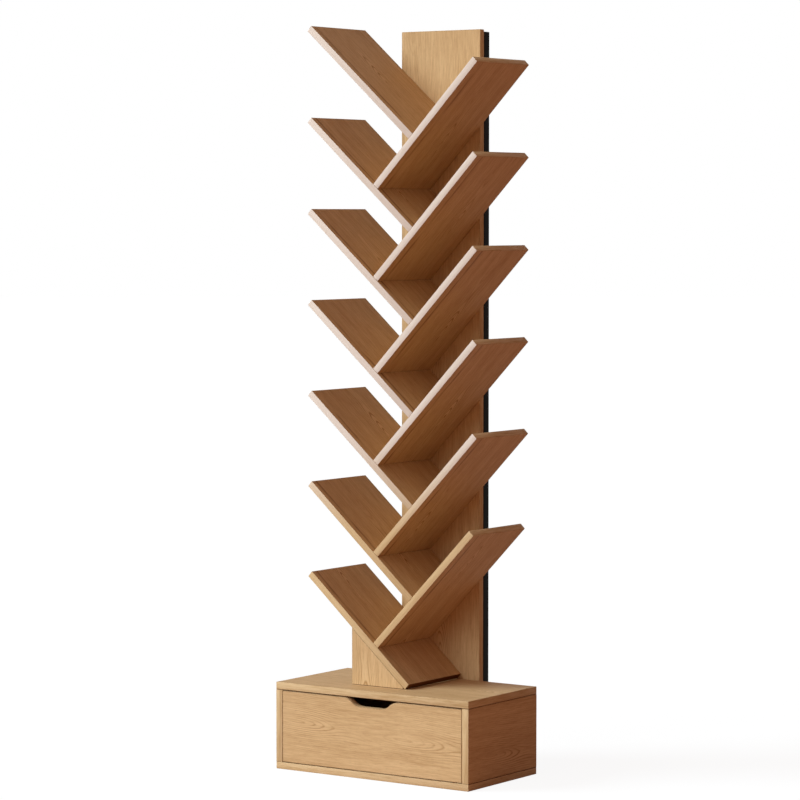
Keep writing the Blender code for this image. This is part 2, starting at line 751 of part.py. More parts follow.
def hang_on_slide(pieces):
    """All drawer pieces, and the tools that cut them, hang from one empty on the slide's line."""
    slide = add_object("drawer_slide", None)
    slide.location = (0, BASE_FRONT_Y, (DRAWER_FRONT_BOTTOM + DRAWER_FRONT_TOP) / 2)
    riders = list(pieces)
    for piece in pieces:
        for step in piece.modifiers:
            if step.type == "BOOLEAN":
                riders.extend(step.collection.objects)
    for rider in riders:
        rider.parent = slide
        rider.location = rider.location - slide.location


# Runners

def build_runners():
    for name, side in (("left_runner", -1), ("right_runner", 1)):
        low_x, high_x = sorted((side * RUNNER_INNER_X, side * (BASE_INNER_X - SEAT_GAP)))
        panel(
            name,
            (low_x, RUNNER_FRONT_Y, RUNNER_LOW),
            (high_x, RUNNER_BACK_Y, RUNNER_HIGH),
            BEECH,
        )


# Assembly

base_top, base_bottom, base_left, base_right, base_back = build_base()
fasten_base(base_bottom, base_left, base_right)

left_boards, right_boards = build_boards()
back_column = build_column()
fasten_boards(left_boards, right_boards, back_column)
fasten_column(back_column, base_back)

support_gusset = build_gusset()
fasten_gusset(support_gusset, base_top, left_boards[-1])

steel_posts = [build_post("left", -1), build_post("right", 1)]
fasten_posts(steel_posts, back_column)

build_runners()

drawer_front = build_drawer_front()
drawer_sides = build_drawer_sides()
drawer_inner_front, drawer_back = build_drawer_ends()
drawer_bottom = build_drawer_bottom()
hang_on_slide([drawer_front, *drawer_sides, drawer_inner_front, drawer_back, drawer_bottom])
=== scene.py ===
"""A tree-shaped storage rack in light oak laminate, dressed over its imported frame."""

import math

import bmesh
import bpy
from mathutils import Matrix, Vector


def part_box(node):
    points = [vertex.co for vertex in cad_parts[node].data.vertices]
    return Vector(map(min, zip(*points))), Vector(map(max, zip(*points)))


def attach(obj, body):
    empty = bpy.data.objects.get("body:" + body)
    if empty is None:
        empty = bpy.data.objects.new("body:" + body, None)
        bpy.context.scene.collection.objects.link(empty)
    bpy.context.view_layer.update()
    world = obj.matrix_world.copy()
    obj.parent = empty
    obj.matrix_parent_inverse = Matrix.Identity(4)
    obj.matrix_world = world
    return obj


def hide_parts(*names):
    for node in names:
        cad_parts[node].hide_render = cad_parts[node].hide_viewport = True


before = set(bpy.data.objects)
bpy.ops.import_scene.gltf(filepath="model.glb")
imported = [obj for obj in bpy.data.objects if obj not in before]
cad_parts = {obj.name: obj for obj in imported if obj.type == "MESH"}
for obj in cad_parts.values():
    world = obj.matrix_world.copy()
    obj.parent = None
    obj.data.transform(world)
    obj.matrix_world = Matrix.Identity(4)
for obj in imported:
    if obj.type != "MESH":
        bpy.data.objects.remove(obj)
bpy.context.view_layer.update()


# Base cabinet
# Five panels of particle board with an oak-print laminate on both faces. Their edges wear a paler
# plastic band a millimetre thick, glued on and trimmed flush, so a fine brown line of glue shows.
# The arrises that look into the joints between panels are painted dark brown, as painted shade in
# the seams. The top and bottom run over the sides, and long screws hold the bottom to them from
# below.

BAND_THICKNESS = 0.0010
ARRIS_RADIUS = 0.0008
SIDE_ARRIS_RADIUS = 0.0003
ARRIS_STEPS = 2
GLUE_LINE_WIDTH = 0.0002
GLUE_LINE_DEPTH = 0.00012
SHARP_CORNER = math.radians(30)

OAK_FACE = (0.660, 0.430, 0.220)
OAK_FACE_DARK = (0.400, 0.222, 0.088)
OAK_BAND = (0.630, 0.430, 0.230)
OAK_BAND_DARK = (0.480, 0.295, 0.132)
SOFT_SHEEN = 0.08
# Brown for the real line of glue at the bands, and also painted shade in joints and under overhangs
GLUE_AND_SHADE_BROWN = (0.180, 0.075, 0.026)
GLUE_AND_SHADE_BROWN_DARK = (0.110, 0.042, 0.014)
BARE_CHIPS = (0.520, 0.360, 0.200)
BARE_CHIPS_DARK = (0.230, 0.120, 0.050)
CHIPS_PER_METRE = 900.0
CHIP_CONTRAST = 0.9
CHIP_ROUGHNESS = 0.7
DUST_PER_METRE = 2200.0
DUST_ROUGHER = 0.2

RIGHTWARD = Vector((1, 0, 0))
BACKWARD = Vector((0, 1, 0))
UPWARD = Vector((0, 0, 1))

# How much of a face's normal has to lie along an axis
FLAT = 0.99
MOSTLY = 0.7
SLIGHTLY = 0.2

NODES_PER_ROW = 8
NODE_SPACING = Vector((200, 300))


def fill_socket(tree, socket, value):
    if isinstance(value, bpy.types.NodeSocket):
        tree.links.new(value, socket)
    else:
        socket.default_value = value


def add_node(tree, kind, **values):
    """A node with its settings, and its sockets given a value or linked to another node's."""
    node = tree.nodes.new("ShaderNode" + kind)
    row, column = divmod(len(tree.nodes), NODES_PER_ROW)
    node.location = (column * NODE_SPACING.x, -row * NODE_SPACING.y)
    for name, value in values.items():
        if hasattr(node, name):
            setattr(node, name, value)
        else:
            fill_socket(tree, node.inputs[name.replace("_", " ")], value)
    return node


def new_group(name, **inputs):
    """A node group that works out a surface's colour, roughness and height from its inputs."""
    group = bpy.data.node_groups.new(name, "ShaderNodeTree")
    outputs = {"Color": "Color", "Roughness": "Float", "Height": "Float"}
    for in_out, sockets in (("INPUT", inputs), ("OUTPUT", outputs)):
        for socket, kind in sockets.items():
            group.interface.new_socket(
                socket.replace("_", " "), in_out=in_out, socket_type="NodeSocket" + kind,
            )
    inlet = group.nodes.new("NodeGroupInput")
    outlet = group.nodes.new("NodeGroupOutput")
    return group, inlet.outputs, outlet.inputs


def arithmetic(tree, operation, first, second=0.0, third=0.0):
    node = add_node(tree, "Math", operation=operation)
    for socket, value in zip(node.inputs, (first, second, third)):
        fill_socket(tree, socket, value)
    return node.outputs["Value"]


def blended(tree, share, first, second, blend="MIX"):
    node = add_node(tree, "Mix", data_type="RGBA", blend_type=blend)
    for number, value in ((0, share), (6, first), (7, second)):
        fill_socket(tree, node.inputs[number], value)
    return node.outputs[2]


def stretched_noise(tree, place, scale, low, high, detail=2.0, roughness=0.5):
    """Noise stretched along the grain, as a mask that rises from zero at low to one at high."""
    place = add_node(tree, "Mapping", Vector=place, Scale=scale).outputs["Vector"]
    noise = add_node(
        tree, "TexNoise", Vector=place, Scale=1.0, Detail=detail, Roughness=roughness,
    ).outputs["Fac"]
    return add_node(tree, "MapRange", Value=noise, From_Min=low, From_Max=high).outputs["Result"]


FLAME_LENGTH = 0.290
HEART_DEPTH = 0.0050
HEART_DIP = 0.0080
HEART_SWAY = 0.0070
HEART_RIPPLE = 0.0025
HEART_DRIFT = 0.055
RINGS_PER_METRE = 250.0
RING_PALE = (0.1, 0.1, 0.1, 1)
RING_DARK = (1, 1, 1, 1)
RING_DARKENS_FROM = 0.55
RING_DARKEST_AT = 0.82
RING_MIDDLE = 0.30
FULL_FIGURE_WITHIN = 0.012
FAINT_FIGURE_BEYOND = 0.040
FAINT_FIGURE = 0.3
ONE_SIDED = 0.45
BROAD_SHARE = 0.7
STREAKS_MIDDLE = 1.35
FIBRE_SHARE = 0.12
CLOUD_SHARE = 0.14
MIDDLE_SHADE = 0.21
PORE_TINT = (0.45, 0.36, 0.28, 1)
WOOD_ROUGHNESS = 0.56
DARK_WOOD_ROUGHER = 0.14

# Scale along, across and through, where the mask starts and ends, then detail and roughness
GRAIN_NOISES = {
    "sway": ((2.4, 9.0, 9.0), 0.0, 1.0),
    "ripple": ((16.0, 70.0, 70.0), 0.0, 1.0, 3.0),
    "fade": ((5.5, 30.0, 30.0), 0.36, 0.58),
    "cloud": ((3.0, 11.0, 11.0), 0.25, 0.80, 3.0),
    "broad": ((3.5, 50.0, 50.0), 0.30, 0.70),
    "streak": ((9.0, 240.0, 240.0), 0.30, 0.70, 4.0, 0.65),
    "fleck": ((30.0, 330.0, 330.0), 0.28, 0.72),
    "fibre": ((25.0, 900.0, 900.0), 0.30, 0.75),
    "pore": ((75.0, 1900.0, 1900.0), 0.60, 0.68),
}


def oak_grain_group():
    """Oak figure from a place that runs along, across and through the board, in metres."""
    group, given, surface = new_group(
        "oak grain", Grain_Place="Vector", Light_Wood="Color", Dark_Wood="Color",
        Figure="Float", Streaks="Float", Pores="Float",
    )
    noise = {
        name: stretched_noise(group, given["Grain Place"], *values)
        for name, values in GRAIN_NOISES.items()
    }

    # Growth rings round a heart that dips in and out of the sheet, which draws pointed arches
    axes = add_node(group, "SeparateXYZ", Vector=given["Grain Place"]).outputs
    flame = arithmetic(group, "MULTIPLY", axes["X"], math.tau / FLAME_LENGTH)
    dip = arithmetic(group, "COSINE", flame)
    rise = arithmetic(group, "SINE", flame)
    depth = arithmetic(group, "MULTIPLY_ADD", dip, -HEART_DIP, HEART_DEPTH)
    depth = arithmetic(group, "MULTIPLY_ADD", noise["sway"], HEART_SWAY, depth)
    depth = arithmetic(group, "MULTIPLY_ADD", noise["ripple"], HEART_RIPPLE, depth)
    aside = arithmetic(group, "MULTIPLY_ADD", axes["X"], HEART_DRIFT, axes["Y"])
    offset = add_node(group, "CombineXYZ", X=aside, Y=depth).outputs["Vector"]
    from_heart = add_node(group, "VectorMath", operation="LENGTH", Vector=offset).outputs["Value"]
    rings = arithmetic(group, "MULTIPLY", from_heart, RINGS_PER_METRE)
    ring_tone = add_node(group, "ValToRGB", Fac=arithmetic(group, "FRACT", rings))
    tones = ring_tone.color_ramp.elements
    tones[0].color = RING_PALE
    tones[1].color = RING_PALE
    tones.new(RING_DARKENS_FROM).color = RING_PALE
    tones.new(RING_DARKEST_AT).color = RING_DARK

    # The rings stand out near the heart, on one side of each dip, and fade in and out
    near = add_node(
        group, "MapRange", Value=from_heart, From_Min=FULL_FIGURE_WITHIN,
        From_Max=FAINT_FIGURE_BEYOND, To_Min=1.0, To_Max=FAINT_FIGURE,
    )
    bundle = arithmetic(group, "MULTIPLY_ADD", rise, ONE_SIDED, 1 - ONE_SIDED)
    figure = arithmetic(group, "SUBTRACT", ring_tone.outputs["Color"], RING_MIDDLE)
    for factor in (bundle, noise["fade"], near.outputs["Result"], given["Figure"]):
        figure = arithmetic(group, "MULTIPLY", figure, factor)

    # Streaks a few millimetres wide, short flecks between them, and short dark pores
    streaks = arithmetic(group, "ADD", noise["streak"], noise["fleck"])
    streaks = arithmetic(group, "MULTIPLY_ADD", noise["broad"], BROAD_SHARE, streaks)
    streaks = arithmetic(group, "SUBTRACT", streaks, STREAKS_MIDDLE)
    streaks = arithmetic(group, "MULTIPLY", streaks, given["Streaks"])
    streaks = arithmetic(group, "MULTIPLY_ADD", noise["fibre"], FIBRE_SHARE, streaks)
    pores = arithmetic(group, "MULTIPLY", noise["pore"], given["Pores"])
    dark = arithmetic(group, "ADD", figure, streaks)
    dark = arithmetic(group, "MULTIPLY_ADD", noise["cloud"], CLOUD_SHARE, dark)
    dark = arithmetic(group, "ADD", dark, MIDDLE_SHADE)
    shade = add_node(group, "Clamp", Value=dark).outputs["Result"]
    wood = blended(group, shade, given["Light Wood"], given["Dark Wood"])
    wood = blended(group, pores, wood, PORE_TINT, "MULTIPLY")
    rough = arithmetic(group, "MULTIPLY_ADD", shade, DARK_WOOD_ROUGHER, WOOD_ROUGHNESS)
    relief = arithmetic(group, "MULTIPLY_ADD", pores, -1.0, noise["fibre"])
    for result, socket in zip((wood, rough, relief), surface):
        group.links.new(result, socket)
    return group


OAK_GRAIN = oak_grain_group()


def start_material(name, **finish):
    material = bpy.data.materials.new(name)
    material.use_nodes = True
    shader = material.node_tree.nodes["Principled BSDF"]
    for socket, value in finish.items():
        shader.inputs[socket.replace("_", " ")].default_value = value
    return material, material.node_tree, shader


def wire_surface(tree, shader, color, roughness, height, strength, distance):
    bump = add_node(tree, "Bump", Height=height, Strength=strength, Distance=distance)
    tree.links.new(color, shader.inputs["Base Color"])
    tree.links.new(roughness, shader.inputs["Roughness"])
    tree.links.new(bump.outputs["Normal"], shader.inputs["Normal"])


def object_place(tree):
    return add_node(tree, "TexCoord").outputs["Object"]


def grained_wood(
    name, light, dark, figure=0.0, streaks=0.0, pores=0.0, turn=None, sheen=SOFT_SHEEN,
):
    """Wood whose figure follows the piece's grain attribute, or its place turned by an angle."""
    material, tree, shader = start_material(name, Specular_IOR_Level=sheen)
    if turn is None:
        place = add_node(tree, "Attribute", attribute_name="grain").outputs["Vector"]
    else:
        place = object_place(tree)
        place = add_node(tree, "Mapping", Vector=place, Rotation=turn).outputs["Vector"]
    grain = add_node(
        tree, "Group", node_tree=OAK_GRAIN, Grain_Place=place, Light_Wood=(*light, 1),
        Dark_Wood=(*dark, 1), Figure=figure, Streaks=streaks, Pores=pores,
    )
    wire_surface(tree, shader, *grain.outputs, strength=0.35, distance=0.00006)
    return material


def chip_board(name):
    """The raw middle of a panel, seen only inside its drilled holes."""
    material, tree, shader = start_material(name, Specular_IOR_Level=SOFT_SHEEN)
    place = object_place(tree)
    chips = add_node(tree, "TexVoronoi", Vector=place, Scale=CHIPS_PER_METRE).outputs["Distance"]
    dust = add_node(tree, "TexNoise", Vector=place, Scale=DUST_PER_METRE, Detail=3.0).outputs["Fac"]
    share = arithmetic(tree, "MULTIPLY", chips, CHIP_CONTRAST)
    tone = blended(tree, share, (*BARE_CHIPS, 1), (*BARE_CHIPS_DARK, 1))
    rough = arithmetic(tree, "MULTIPLY_ADD", dust, DUST_ROUGHER, CHIP_ROUGHNESS)
    wire_surface(tree, shader, tone, rough, dust, strength=0.6, distance=0.0002)
    return material


OAK_PRINT = {"figure": 1.50, "streaks": 0.36, "pores": 0.40}
OAK_LAMINATE = grained_wood("oak laminate", OAK_FACE, OAK_FACE_DARK, **OAK_PRINT)
OAK_EDGE_BAND = grained_wood("oak edge band", OAK_BAND, OAK_BAND_DARK, streaks=0.85, pores=0.25)
# This brown is both the bands' line of glue and painted shade in the joints and under overhangs
GLUE_AND_SHADE_LINE = grained_wood("glue line", GLUE_AND_SHADE_BROWN, GLUE_AND_SHADE_BROWN_DARK, streaks=0.50, sheen=0.0)
RAW_PANEL = chip_board("raw panel middle")
OAK_FINISHES = (OAK_LAMINATE, OAK_EDGE_BAND, GLUE_AND_SHADE_LINE, RAW_PANEL)
FACE_SLOT, BAND_SLOT, GLUE_AND_SHADE_SLOT, RAW_SLOT = range(4)


def sharp_edges(bm):
    bm.normal_update()
    return [edge for edge in bm.edges if edge.calc_face_angle(0) > SHARP_CORNER]


def round_edges(bm, edges, radius, steps):
    bmesh.ops.bevel(
        bm, geom=edges, offset=radius, segments=steps, affect="EDGES", profile=0.5, material=-1,
    )
    bm.normal_update()


def face_outwards(bm):
    bmesh.ops.recalc_face_normals(bm, faces=bm.faces[:])


def push_out(bm, faces, height):
    """Draws flat faces out along Z. Returns the new corners and the new end faces."""
    drawn = bmesh.ops.extrude_face_region(bm, geom=faces)["geom"]
    corners = [part for part in drawn if isinstance(part, bmesh.types.BMVert)]
    bmesh.ops.translate(bm, verts=corners, vec=(0, 0, height))
    return corners, [part for part in drawn if isinstance(part, bmesh.types.BMFace)]


def rectangle(left, front, right, back):
    return [(left, front), (right, front), (right, back), (left, back)]


def raise_outline(bm, outline, height):
    """A flat outline in X and Y raised along Z. Returns the raised corners."""
    bm.faces.new([bm.verts.new((x, y, 0)) for x, y in outline])
    corners, _ = push_out(bm, bm.faces[:], height)
    face_outwards(bm)
    return corners


def shade_round(piece):
    piece.data.shade_smooth()
    piece.data.set_sharp_from_angle(angle=SHARP_CORNER)


def add_piece(name, bm, finishes, place=Matrix()):
    bmesh.ops.transform(bm, matrix=place, verts=bm.verts)
    bm.normal_update()
    mesh = bpy.data.meshes.new(name)
    bm.to_mesh(mesh)
    bm.free()
    for finish in finishes:
        mesh.materials.append(finish)
    piece = bpy.data.objects.new(name, mesh)
    bpy.context.scene.collection.objects.link(piece)
    shade_round(piece)
    return piece


def banded_panel(
    name, outline, thickness, place, skew=0.0, finishes=OAK_FINISHES, arris=ARRIS_RADIUS,
):
    """A panel from its outline in local X and Y, with laminate on both faces and banded edges.

    The thickness rises from the outline along local Z. A skew moves the upper corners of the
    end at X zero along X.
    """
    bm = bmesh.new()
    raised = raise_outline(bm, outline, thickness)
    end = [corner for corner in raised if abs(corner.co.x) < ARRIS_RADIUS]
    bmesh.ops.translate(bm, verts=end, vec=(skew, 0, 0))
    round_edges(bm, sharp_edges(bm), arris, ARRIS_STEPS)
    for face in bm.faces:
        face.material_index = BAND_SLOT
    for up in (1, -1):
        faces = [face for face in bm.faces if face.normal.z * up > FLAT]
        for width, depth, slot in (
            (BAND_THICKNESS - arris, 0, BAND_SLOT),
            (GLUE_LINE_WIDTH / 2, -GLUE_LINE_DEPTH, GLUE_AND_SHADE_SLOT),
            (GLUE_LINE_WIDTH / 2, GLUE_LINE_DEPTH, GLUE_AND_SHADE_SLOT),
        ):
            rim = bmesh.ops.inset_region(
                bm, faces=faces, thickness=width, depth=depth,
                use_boundary=True, use_even_offset=True,
            )
            for face in rim["faces"]:
                face.material_index = slot
        for face in faces:
            face.material_index = FACE_SLOT
    return add_piece(name, bm, finishes, place)


def axes_place(origin, x_axis, y_axis):
    """The place of local axes whose X and Y lie along two directions."""
    place = Matrix((x_axis, y_axis, x_axis.cross(y_axis))).transposed().to_4x4()
    place.translation = origin
    return place


# Each sheet of print starts elsewhere: the most it shifts along and across, and its turn a sheet
SHEET_SHIFTS = ((0.20, 2.3), (0.030, 5.1))
SHEET_SPACING = 0.37


def lay_grain(piece, along, across, sheet):
    """Writes each corner's place in its sheet of print. Bands run along their own edge."""
    through = along.cross(across)
    shifts = [reach * math.sin(turn * sheet) for reach, turn in SHEET_SHIFTS]
    start = Vector((*shifts, SHEET_SPACING * sheet))
    corners = [Vector(corner) for corner in piece.bound_box]
    middle = sum(corners, Vector()) / len(corners)
    mesh = piece.data
    values = mesh.attributes.new("grain", "FLOAT_VECTOR", "CORNER").data
    for polygon in mesh.polygons:
        if abs(polygon.normal.dot(through)) > MOSTLY:
            axes = (along, across, through)
        elif abs(polygon.normal.dot(along)) > MOSTLY:
            axes = (across, through, along)
        else:
            axes = (along, through, across)
        for corner in polygon.loop_indices:
            spot = mesh.vertices[mesh.loops[corner].vertex_index].co - middle
            values[corner].vector = start + Vector([spot.dot(axis) for axis in axes])


def box_panel(name, node, along, across, finishes=OAK_FINISHES, arris=ARRIS_RADIUS):
    """A banded panel that fills a node's box."""
    low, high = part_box(node)
    through = along.cross(across)
    length, width, thickness = [abs((high - low).dot(axis)) for axis in (along, across, through)]
    origin = low - through * thickness if sum(through) < 0 else low
    place = axes_place(origin, along, across)
    return banded_panel(
        name, rectangle(0, 0, length, width), thickness, place, finishes=finishes, arris=arris,
    )


MERGE_DISTANCE = 0.000001


def turned(bm, profile, steps):
    """Turns a profile of radii and heights round Z, and closes it where it meets the axis."""
    points = [bm.verts.new((radius, 0, z)) for radius, z in profile]
    lines = [bm.edges.new(pair) for pair in zip(points, points[1:])]
    bmesh.ops.spin(
        bm, geom=points + lines, cent=(0, 0, 0), axis=(0, 0, 1), angle=math.tau, steps=steps,
        use_merge=True,
    )
    bmesh.ops.remove_doubles(bm, verts=bm.verts[:], dist=MERGE_DISTANCE)
    face_outwards(bm)


HOLE_SIDES = 32
HOLE_CLEARANCE = 0.0002
DRILL_OVERRUN = 0.001


def add_cutter(bm, place):
    for face in bm.faces:
        face.material_index = RAW_SLOT
    return add_piece("cutter", bm, OAK_FINISHES, place)


def hole_cutter(place, head_radius, shank_radius, length, sunk=0.0):
    """A countersunk hole from the surface at its place, down along local Z."""
    head = head_radius + HOLE_CLEARANCE
    shank = shank_radius + HOLE_CLEARANCE
    bm = bmesh.new()
    turned(bm, [
        (0, DRILL_OVERRUN), (head, DRILL_OVERRUN), (head, -sunk), (shank, shank - head - sunk),
        (shank, -length), (0, -length),
    ], HOLE_SIDES)
    return add_cutter(bm, place)


def head_holes(places, kind):
    """Countersunk holes for screws of one kind."""
    head, _, shank, length = kind
    return [hole_cutter(place, head, shank, length) for place in places]


def shank_holes(places, kind):
    """Straight holes for screws of one kind."""
    _, _, shank, length = kind
    return [hole_cutter(place, shank, shank, length) for place in places]


def drill(piece, cutters):
    """Takes the cutters out of a piece and removes them."""
    holes = bpy.data.collections.new(piece.name + "_holes")
    bpy.context.scene.collection.children.link(holes)
    for cutter in cutters:
        bpy.context.scene.collection.objects.unlink(cutter)
        holes.objects.link(cutter)
    boolean = piece.modifiers.new("holes", "BOOLEAN")
    boolean.operation = "DIFFERENCE"
    boolean.solver = "EXACT"
    boolean.operand_type = "COLLECTION"
    boolean.collection = holes
    graph = bpy.context.evaluated_depsgraph_get()
    drilled = bpy.data.meshes.new_from_object(piece.evaluated_get(graph))
    piece.modifiers.clear()
    piece.data = drilled
    for cutter in cutters:
        bpy.data.objects.remove(cutter)
    bpy.data.collections.remove(holes)
    shade_round(piece)


def put_on(piece, body, slot, *nodes):
    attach(piece, body)
    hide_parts(*nodes)


HEAD_DOWN = Matrix.Rotation(math.pi, 4, "X")
BASE_SCREWS = [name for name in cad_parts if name.startswith("base_screw_")]
BASE_SCREW_HEAD = 0.0045
BASE_SCREW_SHANK = 0.0025
BASE_SCREW_SUNK = 0.0005


def paint_joint_shade(panel, wanted):
    """Paints the faces that a test picks out dark brown: painted shade in joints and under
    overhangs.
    """
    for polygon in panel.data.polygons:
        if wanted(polygon.normal):
            polygon.material_index = GLUE_AND_SHADE_SLOT


def facing(point, way):
    """A place at a point, with local Z pointing one way."""
    return Matrix.Translation(point) @ way.to_track_quat("Z", "Y").to_matrix().to_4x4()


# A kind of screw: radius of its head, height of its head over the surface, shank radius, length
RUNNER_SCREW = (0.0032, 0, 0.0016, 0.017)
RUNNER_SCREW_SPOTS = (0.12, 0.50, 0.88)


def runner_screw_places(side):
    """Three places along a runner's inner face, opening towards the drawer."""
    low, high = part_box(side + "_runner")
    inner_x, way = (low.x, -RIGHTWARD) if low.x > 0 else (high.x, RIGHTWARD)
    z = (low.z + high.z) / 2
    return [
        facing(Vector((inner_x, low.y + spot * (high.y - low.y), z)), way)
        for spot in RUNNER_SCREW_SPOTS
    ]


def slopes(part):
    """Whether this part of a normal shows an arris, and not a flat face or edge."""
    return SLIGHTLY < part < FLAT


# Which faces of each base panel get painted shade: the arrises that look into the joints
JOINT_SHADE_ARRISES = {
    "base_top_panel": lambda normal: slopes(-normal.z),
    "base_bottom_panel": lambda normal: slopes(normal.z) and abs(normal.x) > SLIGHTLY,
    "base_left_side": lambda normal: slopes(abs(normal.z)),
    "base_right_side": lambda normal: slopes(abs(normal.z)),
    "base_back_panel": lambda normal: slopes(abs(normal.z)),
}


def base_screw_place(node, z):
    low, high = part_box(node)
    middle = (low + high) / 2
    return Matrix.Translation((middle.x, middle.y, z)) @ HEAD_DOWN


BASE_PANELS = (
    ("cabinet_top", "base_top_panel", RIGHTWARD, BACKWARD),
    ("cabinet_bottom", "base_bottom_panel", RIGHTWARD, BACKWARD),
    ("cabinet_left_side", "base_left_side", BACKWARD, UPWARD),
    ("cabinet_right_side", "base_right_side", BACKWARD, UPWARD),
    ("cabinet_back", "base_back_panel", RIGHTWARD, UPWARD),
)

for sheet, (name, node, along, across) in enumerate(BASE_PANELS, start=1):
    arris = SIDE_ARRIS_RADIUS if across is UPWARD else ARRIS_RADIUS
    panel = box_panel(name, node, along, across, arris=arris)
    if node == "base_bottom_panel":
        hole = (BASE_SCREW_HEAD, BASE_SCREW_SHANK, 2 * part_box(node)[1].z, BASE_SCREW_SUNK)
        drill(panel, [hole_cutter(base_screw_place(screw, 0), *hole) for screw in BASE_SCREWS])
    if node in ("base_left_side", "base_right_side"):
        drill(panel, shank_holes(runner_screw_places(node.split("_")[1]), RUNNER_SCREW))
    # Painted shade: the arrises into the joints go dark brown, so the seams read darker
    paint_joint_shade(panel, JOINT_SHADE_ARRISES[node])
    lay_grain(panel, along, across, sheet)
    put_on(panel, "rack", "oak_laminate", node)


# Runners
# Two bare beech strips with eased arrises, screwed to the cabinet's sides with three countersunk
# screws each. The grooves of the drawer's sides run on them.

BEECH_LIGHT = (0.640, 0.440, 0.260)
BEECH_DARK = (0.430, 0.250, 0.125)
RUNNER_ROUNDING = 0.0008
GRAIN_TOWARDS_BACK = (0, 0, -math.pi / 2)
BEECH_STRIP = grained_wood(
    "beech strip", BEECH_LIGHT, BEECH_DARK, figure=0.10, streaks=0.30, pores=0.65,
    turn=GRAIN_TOWARDS_BACK,
)


def give_one_finish(piece, finish):
    for slot in range(len(piece.data.materials)):
        piece.data.materials[slot] = finish


def beech_runner(side):
    low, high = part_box(side + "_runner")
    bm = bmesh.new()
    raise_outline(bm, rectangle(low.y, low.z, high.y, high.z), high.x - low.x)
    round_edges(bm, sharp_edges(bm), RUNNER_ROUNDING, ARRIS_STEPS)
    place = axes_place(Vector((low.x, 0, 0)), BACKWARD, UPWARD)
    strip = add_piece(side + "_beech_runner", bm, (BEECH_STRIP,), place)
    drill(strip, head_holes(runner_screw_places(side), RUNNER_SCREW))
    give_one_finish(strip, BEECH_STRIP)
    return strip


for side in ("left", "right"):
    put_on(beech_runner(side), "rack", "beech", side + "_runner")


# Drawer box
# Two sides, an inner front and a back of 12 mm board wrapped in a plain pale foil, and a thin
# bottom that slides into grooves. The sides are grooved outside for the runners. Countersunk screws
# join the corners, pan heads hold the drawer front from inside and the bottom from below.

PLAIN_FACE = (0.640, 0.480, 0.300)
PLAIN_FACE_DARK = (0.500, 0.345, 0.190)
PLAIN_FOIL = grained_wood(
    "plain foil", PLAIN_FACE, PLAIN_FACE_DARK, figure=0.30, streaks=0.30, pores=0.20,
)
PLAIN_FINISHES = (PLAIN_FOIL, PLAIN_FOIL, PLAIN_FOIL, RAW_PANEL)
BOX_ARRIS = 0.0004
GROOVE_CLEARANCE = 0.0005
SHEET_CLEARANCE = 0.0003
CORNER_SCREW = (0.0035, 0, 0.0018, 0.030)
CORNER_SCREW_INSET = 0.006
CORNER_SCREW_HEIGHTS = (0.058, 0.117)
FRONT_SCREW = (0.0045, 0.0024, 0.0020, 0.021)
FRONT_SCREW_XS = (-0.13, 0.13)
FRONT_SCREW_HEIGHTS = (0.060, 0.105)
BOTTOM_SCREW = (0.0032, 0.0017, 0.0014, 0.015)
BOTTOM_SCREW_XS = (-0.15, 0, 0.15)

INNER_FRONT_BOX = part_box("drawer_inner_front")
DRAWER_BACK_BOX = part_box("drawer_back")
SHEET_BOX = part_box("drawer_bottom")
FRONT_JOINT_Y = INNER_FRONT_BOX[0].y + CORNER_SCREW_INSET
BACK_JOINT_Y = DRAWER_BACK_BOX[1].y - CORNER_SCREW_INSET

CORNER_SCREW_PLACES = {
    side: [
        facing(Vector((outer_x, y, z)), way)
        for y in (FRONT_JOINT_Y, BACK_JOINT_Y)
        for z in CORNER_SCREW_HEIGHTS
    ]
    for side, outer_x, way in (
        ("left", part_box("drawer_left_side")[0].x, -RIGHTWARD),
        ("right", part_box("drawer_right_side")[1].x, RIGHTWARD),
    )
}
FRONT_SCREW_PLACES = [
    facing(Vector((x, INNER_FRONT_BOX[1].y, z)), BACKWARD)
    for x in FRONT_SCREW_XS
    for z in FRONT_SCREW_HEIGHTS
]
BOTTOM_SCREW_PLACES = [
    facing(Vector((x, BACK_JOINT_Y, SHEET_BOX[0].z)), -UPWARD) for x in BOTTOM_SCREW_XS
]


def block_cutter(one, other):
    """A square-sided groove between two opposite corners."""
    low = Vector(map(min, one, other))
    high = Vector(map(max, one, other))
    bm = bmesh.new()
    raise_outline(bm, rectangle(low.x, low.y, high.x, high.y), high.z - low.z)
    return add_cutter(bm, Matrix.Translation((0, 0, low.z)))


def sheet_groove(start, end):
    """The groove for the edge of the bottom sheet, from one corner in X and Y to another."""
    return block_cutter(
        (*start, SHEET_BOX[0].z - SHEET_CLEARANCE), (*end, SHEET_BOX[1].z + SHEET_CLEARANCE),
    )


def box_side_grooves(side, way):
    """The runner's groove in a drawer side's outer face and the sheet's in its inner face."""
    low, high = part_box("drawer_%s_side" % side)
    outer_x, inner_x = (high.x, low.x) if way > 0 else (low.x, high.x)
    runner_low, runner_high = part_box(side + "_runner")
    runner_x = min(runner_low.x, runner_high.x, key=abs)
    sheet_x = SHEET_BOX[1].x if way > 0 else SHEET_BOX[0].x
    back_y = high.y + DRILL_OVERRUN
    return [
        block_cutter(
            (outer_x + way * DRILL_OVERRUN, runner_low.y - GROOVE_CLEARANCE,
             runner_low.z - GROOVE_CLEARANCE),
            (runner_x - way * GROOVE_CLEARANCE, back_y, runner_high.z + GROOVE_CLEARANCE),
        ),
        sheet_groove(
            (inner_x - way * DRILL_OVERRUN, low.y - DRILL_OVERRUN),
            (sheet_x + way * SHEET_CLEARANCE, back_y),
        ),
    ]


def box_board(name, node, along, across, cutters, sheet):
    board = box_panel(name, node, along, across, PLAIN_FINISHES, BOX_ARRIS)
    drill(board, cutters)
    lay_grain(board, along, across, sheet)
    put_on(board, "drawer", "plain_board", node)


